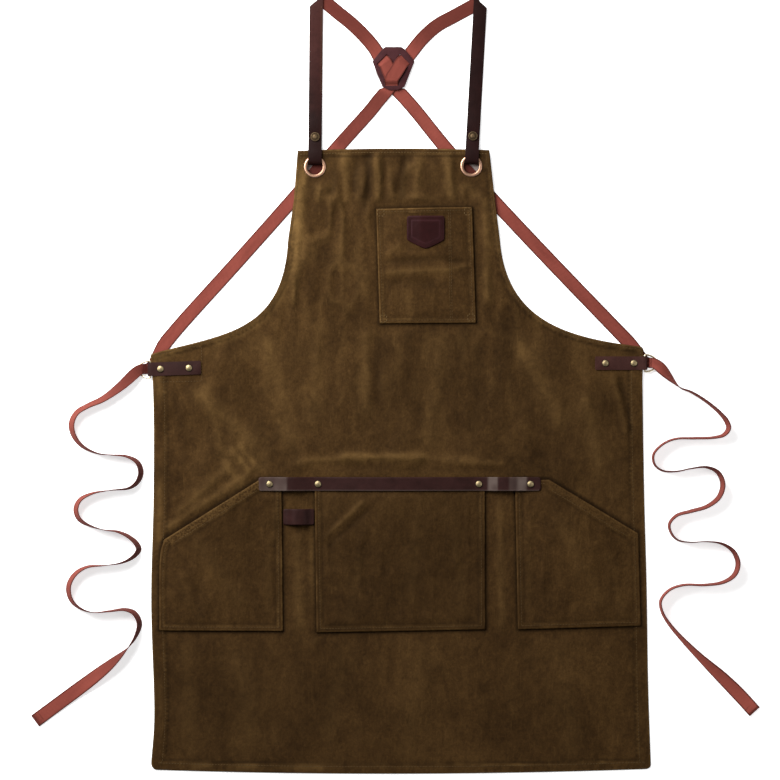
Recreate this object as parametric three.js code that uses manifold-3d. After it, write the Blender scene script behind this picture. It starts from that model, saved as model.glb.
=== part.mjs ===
// Grill apron, laid flat and face up on a surface, in millimetres.
// X runs to the wearer's left (the right of the picture), Y towards the neck, Z up from the surface.
import * as THREE from 'three';
import { mergeVertices } from 'three/addons/utils/BufferGeometryUtils.js';
import Module from 'manifold-3d';

const wasm = await Module();
wasm.setup();

// Driving dimensions
const CANVAS = 1.4;            // thickness of the waxed canvas
const LEATHER = 1.6;           // thickness of the straps, tabs and patches
const WEBBING = 1.2;           // thickness of the back straps and ties
const WEBBING_WIDTH = 19;
const STRAP_WIDTH = 18.7;      // leather shoulder straps
const STRIP_WIDTH = 19.4;      // leather strip over the waist pockets
const GAP = 0.3;               // clearance between pieces that lie on each other
const CELL = 32;               // spacing of the points that shape a cloth sheet
const WAIST_MOUTH = 9;         // how far the side pockets gape
const CENTRE_MOUTH = 8;        // how far the centre pocket gapes
const CHEST_MOUTH = 9;         // how far the chest pocket gapes
const LOOP_RISE = 7;           // height of the tool loops above the canvas
const RIVET_CAP_R = 4.7;
const RIVET_POST_R = 1.5;
const RIVET_BACK_R = 4;
const RIVET_BACK = 0.6;        // thickness of the cap at the back
const SNAP_CAP_R = 6.4;
const CAP_RISE = 1.8;
const EYELET_HOLE_R = 10.8;
const EYELET_OUTER_R = 15.2;
const EYELET_RISE = 1.3;       // front roll above the canvas
const RING_WIRE_R = 1.3;
const RING_LENGTH = 24;        // D-ring, centre of wire to centre of wire along its bar
const RING_DEPTH = 16.5;       // bar to the far side of the curve
const RING_DROP = 2.5;         // how far the curve hangs below the bar
const POST_SIDES = 8;
const EYELET_SIDES = 14;
const HOLE_SIDES = 20;          // sides of an eyelet's hole in the canvas
const CURVE_STEPS = 9;         // straight steps in each curve of an outline
const RING_SECTIONS = 19;      // sections of the D-ring's wire
const THROUGH = 100;           // length of a cutter that goes through every layer

// Heights of what lies under the canvas, from the surface up
const WEB_Z = GAP + WEBBING / 2;
const UNDER_LEATHER_Z = GAP + WEBBING + GAP + LEATHER / 2;
const TAB_LIFT = UNDER_LEATHER_Z + LEATHER / 2 + GAP;
const EYELET_BACK = 0.7;       // thickness of the flange at the back
const EYELET_LIFT = TAB_LIFT + EYELET_BACK + GAP;
const RIVET_LIFT = RIVET_BACK + GAP;
const FOLD_R = LEATHER / 2 + RING_WIRE_R + GAP;
const BAR_Z = UNDER_LEATHER_Z + FOLD_R;

// Each side of the apron: where its eyelet, tab, ring and wing sit, and how its strap and tab lean
const SIDES = [
  {
    name: 'left', out: -1, eyeletX: -114.4, eyeletY: 300.8, strapLean: -0.5, barX: -343, tabY: 20.3,
    tabEndX: -272.2, tabLean: 2, rivetX: [-328.2, -288.8], strapTopY: 523.5, wingX: -158, wingY: 62,
  },
  {
    name: 'right', out: 1, eyeletX: 102.2, eyeletY: 301.9, strapLean: -3.2, barX: 343, tabY: 28.8,
    tabEndX: 273.5, tabLean: 0, rivetX: [327.3, 287.7], strapTopY: 520.2, wingX: 148, wingY: 66,
  },
];
const STRIP = { left: -192.7, right: 198.7, y: -138.5, rivetX: [-177.1, -110.1, 112.6, 184.1] };
const TOOL_LOOP = { left: -158.2, right: -115.4, y: -184.2, width: 22.2 };

// What lifts the canvas: a line on the surface, the height it needs and how far that height reaches
const SUPPORTS = [
  { x0: -345, y0: 25, x1: -272, y1: 20, height: TAB_LIFT, reach: 42, fade: 50 },
  { x0: 345, y0: 33, x1: 273, y1: 28, height: TAB_LIFT, reach: 42, fade: 50 },
  { x0: -178, y0: -138, x1: 185, y1: -138, height: RIVET_LIFT, reach: 36, fade: 40 },
];

// The bib rises evenly from the waist to its eyelets, held up by the straps behind it
const RAMP = { footY: 60, topY: 285, height: EYELET_LIFT };

// Soft folds of the canvas: the crest's two ends, its half width and its height
const FOLDS = [
  { x0: -62, y0: 232, x1: -50, y1: 150, width: 16, height: 1.2 },
  { x0: -28, y0: 312, x1: -32, y1: 250, width: 14, height: 1.2 },
  { x0: -188, y0: -88, x1: -218, y1: -118, width: 16, height: 3.5 },
  { x0: -238, y0: -60, x1: -262, y1: -118, width: 16, height: 2.5 },
  { x0: -70, y0: -90, x1: 112, y1: -88, width: 14, height: 4 },
  { x0: 306, y0: -30, x1: 322, y1: -70, width: 14, height: 2 },
];

// Helpers: solids, sheets, ribbons and small hardware

function material(color, roughness, metalness = 0) {
  return new THREE.MeshStandardMaterial({ color, roughness, metalness });
}
const canvas = () => material(0x4a3820, 0.8);
const leather = () => material(0x402526, 0.5);
const webbing = () => material(0x9c4a40, 0.85);
const brass = () => material(0xb09050, 0.35, 1);
const antique = () => material(0x6a5634, 0.45, 1);
const copper = () => material(0xd09a78, 0.3, 1);
const paleBrass = () => material(0xcbbb94, 0.3, 1);

// A manifold-3d solid from a closed geometry, and back
function solid(geometry) {
  const bare = geometry.clone();
  bare.deleteAttribute('normal');
  bare.deleteAttribute('uv');
  const merged = mergeVertices(bare, 1e-4);
  return new wasm.Manifold(new wasm.Mesh({
    numProp: 3,
    vertProperties: new Float32Array(merged.attributes.position.array),
    triVerts: new Uint32Array(merged.index.array),
  }));
}
function geometryOf(body) {
  const { vertProperties, triVerts } = body.getMesh();
  const geometry = new THREE.BufferGeometry();
  geometry.setAttribute('position', new THREE.BufferAttribute(new Float32Array(vertProperties), 3));
  geometry.setIndex(new THREE.BufferAttribute(new Uint32Array(triVerts), 1));
  geometry.computeVertexNormals();
  return geometry;
}
function mesh(name, geometry, finish) {
  const piece = new THREE.Mesh(geometry, finish);
  piece.name = name;
  return piece;
}

// A closed body through rings of points, capped at both ends or joined into a loop.
// Facing sides are split along the same diagonal, so a twisted band keeps its thickness.
function skin(rings, closed = false) {
  const count = rings[0].length;
  const spans = closed ? rings.length : rings.length - 1;
  const index = [];
  for (let i = 0; i < spans; i += 1) {
    const here = i * count;
    const next = ((i + 1) % rings.length) * count;
    for (let j = 0; j < count; j += 1) {
      const k = (j + 1) % count;
      if (j < count / 2) {
        index.push(here + j, here + k, next + k, here + j, next + k, next + j);
      } else {
        index.push(here + j, here + k, next + j, here + k, next + k, next + j);
      }
    }
  }
  if (!closed) {
    const last = (rings.length - 1) * count;
    for (let j = 1; j < count - 1; j += 1) {
      index.push(0, j + 1, j, last, last + j, last + j + 1);
    }
  }
  const geometry = new THREE.BufferGeometry().setFromPoints(rings.flat());
  geometry.setIndex(index);
  geometry.computeVertexNormals();
  return geometry;
}

// A flat band along a route of { x, y, z, roll, width, level }: roll 0 lies flat, 90 stands on edge.
// Where across is given, the band keeps that direction across its width instead. Where level is 1 its
// sections stay along X, so that it can set off at a slant from a straight end.
function ribbon(route, { width, thickness, steps, across }) {
  const curve = new THREE.CatmullRomCurve3(route.map((p) => new THREE.Vector3(p.x, p.y, p.z)));
  const spans = route.length - 1;
  const rings = [];
  for (let k = 0; k <= spans * steps; k += 1) {
    const span = Math.min(Math.floor(k / steps), spans - 1);
    const part = THREE.MathUtils.smoothstep(k / steps - span, 0, 1);
    const blend = (key, plain) => THREE.MathUtils.lerp(
      route[span][key] ?? plain,
      route[span + 1][key] ?? plain,
      part,
    );
    const t = k / (spans * steps);
    const middle = curve.getPoint(t);
    const along = curve.getTangent(t);
    const side = across
      ? across.clone()
      : new THREE.Vector3(0, 0, 1).cross(along).normalize();
    side.lerp(new THREE.Vector3(1, 0, 0), blend('level', 0)).normalize();
    side.applyAxisAngle(along, THREE.MathUtils.degToRad(blend('roll', 0)));
    const up = along.clone().cross(side).normalize();
    side.multiplyScalar(blend('width', width) / 2);
    up.multiplyScalar(thickness / 2);
    rings.push([[-1, -1], [1, -1], [1, 1], [-1, 1]].map(([s, u]) => middle.clone()
      .addScaledVector(side, s)
      .addScaledVector(up, u)));
  }
  return skin(rings);
}

// An outline raised into a straight prism between two heights
function prism(shape, low, high) {
  const geometry = new THREE.ExtrudeGeometry(shape, {
    depth: high - low,
    bevelEnabled: false,
    curveSegments: CURVE_STEPS,
  });
  return solid(geometry.translate(0, 0, low));
}
function polygon(points) {
  return new THREE.Shape(points.map(([x, y]) => new THREE.Vector2(x, y)));
}

// A slab between two height functions on the shared lattice of cloth points
function slab(box, lower, upper) {
  const i0 = Math.floor(box.min.x / CELL);
  const j0 = Math.floor(box.min.y / CELL);
  const columns = Math.ceil(box.max.x / CELL) - i0;
  const rows = Math.ceil(box.max.y / CELL) - j0;
  const points = [];
  for (const height of [lower, upper]) {
    for (let j = 0; j <= rows; j += 1) {
      for (let i = 0; i <= columns; i += 1) {
        const x = (i0 + i) * CELL;
        const y = (j0 + j) * CELL;
        points.push(new THREE.Vector3(x, y, height(x, y)));
      }
    }
  }
  const layer = (columns + 1) * (rows + 1);
  const at = (i, j, top) => j * (columns + 1) + i + top * layer;
  const index = [];
  const quad = (a, b, c, d) => index.push(a, b, c, a, c, d);
  for (let j = 0; j < rows; j += 1) {
    for (let i = 0; i < columns; i += 1) {
      quad(at(i, j, 1), at(i + 1, j, 1), at(i + 1, j + 1, 1), at(i, j + 1, 1));
      index.push(at(i, j, 0), at(i + 1, j + 1, 0), at(i + 1, j, 0));
      index.push(at(i, j, 0), at(i, j + 1, 0), at(i + 1, j + 1, 0));
    }
  }
  for (let i = 0; i < columns; i += 1) {
    quad(at(i, 0, 0), at(i + 1, 0, 0), at(i + 1, 0, 1), at(i, 0, 1));
    quad(at(i + 1, rows, 0), at(i, rows, 0), at(i, rows, 1), at(i + 1, rows, 1));
  }
  for (let j = 0; j < rows; j += 1) {
    quad(at(0, j + 1, 0), at(0, j, 0), at(0, j, 1), at(0, j + 1, 1));
    quad(at(columns, j, 0), at(columns, j + 1, 0), at(columns, j + 1, 1), at(columns, j, 1));
  }
  const geometry = new THREE.BufferGeometry().setFromPoints(points);
  geometry.setIndex(index);
  return solid(geometry);
}

// A sheet of one thickness whose underside follows a height function inside an outline
function sheet(shape, lower, thickness) {
  const corners = shape.getPoints(CURVE_STEPS).map((p) => new THREE.Vector3(p.x, p.y, 0));
  const box = new THREE.Box3().setFromPoints(corners).expandByScalar(1);
  const body = slab(box, lower, (x, y) => lower(x, y) + thickness);
  return body.intersect(prism(shape, -THROUGH / 2, THROUGH / 2));
}

// The height of a lattice surface at any point, as the slab's triangles have it
function latticeHeight(height, x, y) {
  const i = Math.floor(x / CELL);
  const j = Math.floor(y / CELL);
  const u = x / CELL - i;
  const v = y / CELL - j;
  const at = (di, dj) => height((i + di) * CELL, (j + dj) * CELL);
  if (u > v) {
    return at(0, 0) * (1 - u) + at(1, 0) * (u - v) + at(1, 1) * v;
  }
  return at(0, 0) * (1 - v) + at(0, 1) * (v - u) + at(1, 1) * u;
}

function postHole(x, y) {
  const bore = new THREE.CylinderGeometry(RIVET_POST_R + GAP, RIVET_POST_R + GAP, THROUGH, POST_SIDES);
  return solid(bore.rotateX(Math.PI / 2).translate(x, y, 0));
}
function drilled(body, holes) {
  return holes.reduce((left, [x, y]) => left.subtract(postHole(x, y)), body);
}

// A rivet or snap: front cap, post and back cap, turned as one piece about +Z
function rivet(capR, backLow, capLow) {
  const backTop = backLow + RIVET_BACK;
  const profile = [
    [0, backLow],
    [RIVET_BACK_R, backLow],
    [RIVET_BACK_R, backTop],
    [RIVET_POST_R, backTop],
    [RIVET_POST_R, capLow],
    [capR, capLow],
    [capR * 0.9, capLow + CAP_RISE / 2],
    [0, capLow + CAP_RISE],
  ].map(([r, z]) => new THREE.Vector2(r, z));
  return new THREE.LatheGeometry(profile, POST_SIDES).rotateX(Math.PI / 2);
}

// Heights of the canvas layers: what holds it up also holds it flat, and it folds only where loose

function distanceTo(line, x, y) {
  const dx = line.x1 - line.x0;
  const dy = line.y1 - line.y0;
  const t = ((x - line.x0) * dx + (y - line.y0) * dy) / (dx * dx + dy * dy);
  const k = THREE.MathUtils.clamp(t, 0, 1);
  return Math.hypot(x - line.x0 - k * dx, y - line.y0 - k * dy);
}
function panelLow(x, y) {
  const held = SUPPORTS.map((s) => {
    const past = distanceTo(s, x, y) - s.reach;
    return 1 - THREE.MathUtils.smoothstep(past, 0, s.fade);
  });
  const ramp = THREE.MathUtils.clamp((y - RAMP.footY) / (RAMP.topY - RAMP.footY), 0, 1);
  const lift = Math.max(RAMP.height * ramp, ...SUPPORTS.map((s, i) => s.height * held[i]));
  const loose = 1 - Math.max(...held);
  const folds = FOLDS.map((f) => f.height * Math.exp(-((distanceTo(f, x, y) / f.width) ** 2)));
  return lift + loose * folds.reduce((sum, fold) => sum + fold, 0);
}
const panelTop = (x, y) => panelLow(x, y) + CANVAS;

// A pocket lies on the panel along its sewn edges and gapes towards its mouth
function pocketLow({ left, right, bottom, top, mouth }) {
  const middle = (left + right) / 2;
  const half = (right - left) / 2;
  return (x, y) => {
    const u = THREE.MathUtils.clamp((x - middle) / half, -1, 1);
    const rise = THREE.MathUtils.clamp((y - bottom) / (top - bottom), 0, 1);
    return panelTop(x, y) + GAP + mouth * rise * (1 - u * u) ** 2;
  };
}

// Body panel: bib, armholes, skirt with softly wavering sides, bowed hem
function panelShape() {
  const shape = new THREE.Shape();
  shape.moveTo(-138.4, 323);
  shape.lineTo(-143.6, 255);
  shape.lineTo(-151.7, 199.4);
  shape.bezierCurveTo(-158.3, 68.4, -244, 69.4, -341, 41.6);
  shape.quadraticCurveTo(-343, 40, -341.5, 34);
  shape.splineThru([[-338.6, -8], [-338, -150], [-341.4, -299], [-337.2, -465], [-341.4, -525]]
    .map(([x, y]) => new THREE.Vector2(x, y)));
  shape.quadraticCurveTo(-341, -534, -333, -534.8);
  shape.quadraticCurveTo(3.5, -546, 344, -533.6);
  shape.quadraticCurveTo(351.5, -533, 351.1, -526);
  shape.splineThru([[347.6, -424], [345.1, -271], [342.1, -160], [339.3, 5]]
    .map(([x, y]) => new THREE.Vector2(x, y)));
  shape.lineTo(340.5, 47);
  shape.quadraticCurveTo(340.5, 51.5, 335, 52);
  shape.bezierCurveTo(239, 64, 151, 85, 142, 199.4);
  shape.lineTo(135, 255);
  shape.lineTo(127.3, 324);
  shape.quadraticCurveTo(-7.6, 328.6, -138.4, 323);
  return shape;
}

function eyeletHole({ eyeletX, eyeletY }) {
  const radius = EYELET_HOLE_R + 1.3;
  const bore = new THREE.CylinderGeometry(radius, radius, THROUGH, HOLE_SIDES);
  return solid(bore.rotateX(Math.PI / 2).translate(eyeletX, eyeletY, 0));
}

// A tab's rivets lie on its leaning middle line
function tabRivets(side) {
  const lean = Math.tan(THREE.MathUtils.degToRad(side.tabLean));
  return side.rivetX.map((x) => [x, side.tabY + (x - side.barX) * lean]);
}
const stripRivets = STRIP.rivetX.map((x) => [x, STRIP.y]);

function bodyPanel() {
  let body = sheet(panelShape(), panelLow, CANVAS);
  body = drilled(body, [...stripRivets, ...SIDES.flatMap(tabRivets)]);
  for (const side of SIDES) {
    body = body.subtract(eyeletHole(side));
  }
  return body;
}

// Wing: the canvas that curves out from the bib below an armhole, beyond wingX and above wingY
const WING_BLOCK = 300;        // side of the block that cuts a wing off, larger than the wing
function wingBlock({ out, wingX, wingY }, clearance) {
  const block = new THREE.BoxGeometry(WING_BLOCK, WING_BLOCK, THROUGH);
  const reach = WING_BLOCK / 2 + clearance;
  return solid(block.translate(wingX + out * reach, wingY + reach, 0));
}

// Pockets: outline, the box that sets the gape, and the rivets that go through
const POCKETS = {
  chest_pocket: {
    outline: [[-24.7, 83.8], [109, 84.6], [103.3, 245.1], [-29.6, 242.4]],
    gape: { left: -28, right: 107, bottom: 84, top: 244, mouth: CHEST_MOUTH },
    rivets: [],
  },
  left_pocket: {
    outline: [[-330.2, -341.7], [-158.7, -342.6], [-160.6, -150], [-161.6, -132.5], [-191, -132.5],
      [-323.1, -215.4], [-328.4, -234]],
    gape: { left: -330, right: -159, bottom: -342, top: -170, mouth: WAIST_MOUTH },
    rivets: [0],
  },
  centre_pocket: {
    outline: [[-112.2, -344.4], [121.9, -340.2], [121, -133.5], [-115, -133.5]],
    gape: { left: -114, right: 121.5, bottom: -342, top: -140, mouth: CENTRE_MOUTH },
    rivets: [1, 2],
  },
  right_pocket: {
    outline: [[166.8, -340.2], [337.2, -335.3], [333.6, -207.1], [209.7, -132.5], [162.7, -132.5]],
    gape: { left: 164, right: 336, bottom: -338, top: -170, mouth: WAIST_MOUTH },
    rivets: [3],
  },
};
function pocket({ outline, gape, rivets }) {
  const body = sheet(polygon(outline), pocketLow(gape), CANVAS);
  return drilled(body, rivets.map((i) => stripRivets[i]));
}
const pocketTop = (name) => {
  const low = pocketLow(POCKETS[name].gape);
  return (x, y) => low(x, y) + CANVAS;
};

// Label: a plain shield lying on the chest pocket
const LABEL = { left: 12.9, right: 65.1, top: 232.7, shoulder: 199.4, tip: 187, corner: 5 };
function labelPatch() {
  const { left, right, top, shoulder, tip, corner } = LABEL;
  const middle = (left + right) / 2;
  const shape = new THREE.Shape();
  shape.moveTo(left, shoulder);
  shape.quadraticCurveTo(middle - 10, tip + 3, middle, tip);
  shape.quadraticCurveTo(middle + 10, tip + 3, right, shoulder);
  shape.lineTo(right, top - corner);
  shape.quadraticCurveTo(right, top, right - corner, top);
  shape.lineTo(left + corner, top);
  shape.quadraticCurveTo(left, top, left, top - corner);
  const onPocket = pocketTop('chest_pocket');
  return sheet(shape, (x, y) => onPocket(x, y) + GAP, LEATHER);
}

// Leather strip: riveted down at four places, flat under each cap and arched between them
const STRIP_SLACK = 0.6;       // room between the strip and the canvas below it
const STRIP_FLAT = 6;          // half the length that each rivet holds flat
const STRIP_ON = ['left_pocket', 'centre_pocket', 'centre_pocket', 'right_pocket'];
function stripLow(x, below) {
  const half = STRIP_WIDTH / 2;
  const heights = [-STRIP_FLAT, 0, STRIP_FLAT].flatMap((dx) => [-half, 0, half]
    .map((dy) => latticeHeight(below, x + dx, STRIP.y + dy)));
  return Math.max(...heights) + STRIP_SLACK;
}
const stripSeats = STRIP.rivetX.map((x, i) => stripLow(x, pocketTop(STRIP_ON[i])));
function stripArch(x, below, rise) {
  return { x, z: stripLow(x, below) + rise };
}
function pocketStrip() {
  const seat = (i) => [-STRIP_FLAT, STRIP_FLAT].map((dx) => ({
    x: STRIP.rivetX[i] + dx,
    z: stripSeats[i],
  }));
  const between = (i) => (STRIP.rivetX[i] + STRIP.rivetX[i + 1]) / 2;
  const onCentre = pocketTop('centre_pocket');
  const stations = [
    { x: STRIP.left, z: stripSeats[0] + 1 },
    ...seat(0),
    stripArch(between(0), panelTop, LOOP_RISE),
    ...seat(1),
    stripArch(-55, onCentre, 0),
    stripArch(between(1), onCentre, 0),
    stripArch(60, onCentre, 0),
    ...seat(2),
    stripArch(between(2), panelTop, LOOP_RISE),
    ...seat(3),
    { x: STRIP.right, z: stripSeats[3] + 1 },
  ];
  const route = stations.map(({ x, z }) => ({ x, y: STRIP.y, z: z + LEATHER / 2 }));
  const across = new THREE.Vector3(0, 1, 0);
  const band = ribbon(route, { width: STRIP_WIDTH, thickness: LEATHER, steps: 3, across });
  return drilled(solid(band), stripRivets);
}

// Tool loop between the left and centre pockets
function toolLoop() {
  const { left, right, y, width } = TOOL_LOOP;
  const middle = (left + right) / 2;
  const foot = panelTop(middle, y) + GAP + LEATHER / 2;
  const route = [
    { x: left, y, z: foot },
    { x: left + 6, y, z: foot + 0.6 },
    { x: middle - 8, y, z: foot + LOOP_RISE - 1 },
    { x: middle + 8, y, z: foot + LOOP_RISE - 1 },
    { x: right - 6, y, z: foot + 0.6 },
    { x: right, y, z: foot },
  ];
  return ribbon(route, { width, thickness: LEATHER, steps: 3, across: new THREE.Vector3(0, 1, 0) });
}

// Side tab: two layers of leather folded round the bar of its D-ring
function tabRoute({ out, barX, tabEndX }) {
  const route = [
    { x: tabEndX, y: 0, z: UNDER_LEATHER_Z },
    { x: (tabEndX + barX) / 2, y: 0, z: UNDER_LEATHER_Z },
    { x: barX - out * 6, y: 0, z: UNDER_LEATHER_Z },
  ];
  for (let turn = -90; turn <= 90; turn += 45) {
    const angle = THREE.MathUtils.degToRad(turn);
    route.push({
      x: barX + out * FOLD_R * Math.cos(angle),
      y: 0,
      z: BAR_Z + FOLD_R * Math.sin(angle),
    });
  }
  const upperZ = TAB_LIFT + CANVAS + GAP + LEATHER / 2;
  route.push(
    { x: barX - out * 7, y: 0, z: upperZ + 0.5 },
    { x: barX - out * 14, y: 0, z: upperZ },
    { x: (tabEndX + barX) / 2, y: 0, z: upperZ },
    { x: tabEndX, y: 0, z: upperZ },
  );
  return route;
}
const TAB_WIDTH = 18.8;
const CAP_ON_TAB = TAB_LIFT + CANVAS + 2 * GAP + LEATHER;
function sideTab(side) {
  const across = new THREE.Vector3(0, 1, 0);
  const band = ribbon(tabRoute(side), { width: TAB_WIDTH, thickness: LEATHER, steps: 2, across });
  band.translate(-side.barX, 0, 0);
  band.rotateZ(THREE.MathUtils.degToRad(side.tabLean));
  band.translate(side.barX, side.tabY, 0);
  return drilled(solid(band), tabRivets(side));
}

// D-ring: a bar and a half-round curve in one closed wire, its curve hanging a little lower
function dRing({ out, barX, tabY }) {
  const half = RING_LENGTH / 2;
  const centre = [];
  const corner = 0.94;
  for (let k = -2; k <= 2; k += 1) {
    centre.push(new THREE.Vector3(0, (-out * k * half * corner) / 2, 0));
  }
  for (let turn = -75; turn <= 75; turn += 25) {
    const angle = THREE.MathUtils.degToRad(turn);
    const reach = Math.cos(angle);
    centre.push(new THREE.Vector3(
      out * RING_DEPTH * reach,
      out * half * Math.sin(angle),
      -RING_DROP * reach,
    ));
  }
  const curve = new THREE.CatmullRomCurve3(centre, true);
  const rings = [];
  for (let k = 0; k < RING_SECTIONS; k += 1) {
    const middle = curve.getPoint(k / RING_SECTIONS);
    const along = curve.getTangent(k / RING_SECTIONS);
    const side = new THREE.Vector3(0, 0, 1).cross(along).normalize();
    const up = along.clone().cross(side);
    const ring = [];
    for (let j = 0; j < 6; j += 1) {
      const angle = (j * Math.PI) / 3;
      ring.push(middle.clone()
        .addScaledVector(side, RING_WIRE_R * Math.cos(angle))
        .addScaledVector(up, RING_WIRE_R * Math.sin(angle)));
    }
    rings.push(ring);
  }
  return skin(rings, true).translate(barX, tabY, BAR_Z);
}

// Eyelet: front roll, barrel and back flange turned about +Z at the middle of the canvas
function eyelet({ eyeletX, eyeletY }) {
  const half = CANVAS / 2 + GAP;
  const barrel = EYELET_HOLE_R + 0.9;
  const profile = [
    [EYELET_HOLE_R, -half],
    [EYELET_HOLE_R + 0.5, -half - EYELET_BACK],
    [EYELET_OUTER_R - 1, -half - EYELET_BACK],
    [EYELET_OUTER_R - 1, -half],
    [barrel, -half],
    [barrel, half],
    [EYELET_OUTER_R, half],
    [EYELET_OUTER_R - 0.6, half + EYELET_RISE * 0.75],
    [EYELET_OUTER_R - 2.2, half + EYELET_RISE],
    [EYELET_HOLE_R + 0.6, half + EYELET_RISE * 0.75],
    [EYELET_HOLE_R, half],
    [EYELET_HOLE_R, -half],
  ].map(([r, z]) => new THREE.Vector2(r, z));
  const turned = new THREE.LatheGeometry(profile, EYELET_SIDES).rotateX(Math.PI / 2);
  return turned.translate(eyeletX, eyeletY, EYELET_LIFT + CANVAS / 2);
}

// Shoulder strap: up behind the bib, forward through the eyelet, up in front to a slanted end.
// Heights are of the middle of the leather, lengths are measured up from the eyelet's centre.
const STRAP_OVER_Z = EYELET_LIFT + CANVAS + GAP + EYELET_RISE + GAP + LEATHER / 2;
const SNAP_UP = 41.5;
const SNAP_BACK_Z = RIVET_BACK + 2 * GAP;
const STRAP_SNAP_Z = SNAP_BACK_Z + LEATHER + GAP + LEATHER / 2;
const STRAP_FLAT_Z = 2 * GAP + LEATHER / 2;
const STRAP_TOP_UP = 243;
const STRAP_ROUTE = [
  { up: 57, z: SNAP_BACK_Z + LEATHER / 2 },
  { up: SNAP_UP - 7, z: SNAP_BACK_Z + LEATHER / 2 },
  { up: 26, z: UNDER_LEATHER_Z },
  { up: 16, z: UNDER_LEATHER_Z },
  { up: 7.2, z: UNDER_LEATHER_Z - 0.15 },
  { up: 4, z: UNDER_LEATHER_Z + 1.1 },
  { up: 3.2, z: (UNDER_LEATHER_Z + STRAP_OVER_Z) / 2 },
  { up: 4.1, z: STRAP_OVER_Z - 1.2 },
  { up: 7.5, z: STRAP_OVER_Z },
  { up: 18, z: STRAP_OVER_Z },
  { up: 25.5, z: STRAP_OVER_Z - 1.3 },
  { up: SNAP_UP - 7, z: STRAP_SNAP_Z },
  { up: SNAP_UP + 7, z: STRAP_SNAP_Z },
  { up: 58, z: STRAP_SNAP_Z },
  { up: 72, z: STRAP_FLAT_Z + 0.6 },
  { up: 84, z: STRAP_FLAT_Z },
  { up: 130, z: STRAP_FLAT_Z },
  { up: 176, z: STRAP_FLAT_Z },
  { up: 188, z: STRAP_FLAT_Z + 0.6 },
  { up: 200, z: UNDER_LEATHER_Z },
  { up: STRAP_TOP_UP, z: UNDER_LEATHER_Z },
];
function shoulderStrap(side) {
  const across = new THREE.Vector3(1, 0, 0);
  const route = STRAP_ROUTE.map(({ up, z }) => ({ x: 0, y: up, z }));
  const band = ribbon(route, { width: STRAP_WIDTH, thickness: LEATHER, steps: 2, across });
  band.rotateZ(THREE.MathUtils.degToRad(side.strapLean));
  band.translate(side.eyeletX, side.eyeletY, 0);
  const snap = snapPlace(side);
  // The outer corner of the top end is cut away on a slant
  const top = side.eyeletY + STRAP_TOP_UP;
  const lean = Math.tan(THREE.MathUtils.degToRad(side.strapLean));
  const middle = side.eyeletX - lean * STRAP_TOP_UP;
  const cut = polygon([
    [middle + side.out * STRAP_WIDTH, side.strapTopY - 8],
    [middle + side.out * STRAP_WIDTH, top + 10],
    [middle - side.out * STRAP_WIDTH * 0.5, top + 10],
    [middle - side.out * STRAP_WIDTH * 0.5, top],
    [middle - side.out * 2, side.strapTopY + 9.5],
  ]);
  return drilled(solid(band), [snap]).subtract(prism(cut, -THROUGH / 2, THROUGH / 2));
}
function snapPlace(side) {
  const lean = THREE.MathUtils.degToRad(side.strapLean);
  return [
    side.eyeletX - Math.sin(lean) * SNAP_UP,
    side.eyeletY + Math.cos(lean) * SNAP_UP,
  ];
}

// Cross patch: a coffin-shaped plate with three slots, tipped up where both straps lie under it
const PATCH = { x: -5.6, top: 467.5, low: 2 * GAP + WEBBING, tip: 1.55 };
const PATCH_OUTLINE = [
  [-11, 467], [11, 467], [15.5, 463.8], [29.2, 446.8], [15.5, 411.5], [6, 407], [-6, 407],
  [-15.5, 411.5], [-29.2, 446.8], [-15.5, 463.8],
];
const SLOTS = [
  { x: -14, y: 447.4, turn: 45, length: 20, width: 6.4 },
  { x: 14, y: 447.4, turn: -45, length: 20, width: 6.4 },
  { x: -2.6, y: 417.2, turn: 0, length: 20, width: 8.2 },
];
function patchLow(y) {
  return PATCH.low + (PATCH.top - y) * Math.tan(THREE.MathUtils.degToRad(PATCH.tip));
}
function crossPatch() {
  let plate = prism(polygon(PATCH_OUTLINE), 0, LEATHER);
  for (const slot of SLOTS) {
    const bore = new THREE.BoxGeometry(slot.length, slot.width, THROUGH);
    bore.rotateZ(THREE.MathUtils.degToRad(slot.turn)).translate(slot.x, slot.y, 0);
    plate = plate.subtract(solid(bore));
  }
  const geometry = geometryOf(plate);
  geometry.translate(0, -PATCH.top, 0);
  geometry.rotateX(THREE.MathUtils.degToRad(-PATCH.tip));
  return geometry.translate(PATCH.x, PATCH.top, PATCH.low);
}

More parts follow.
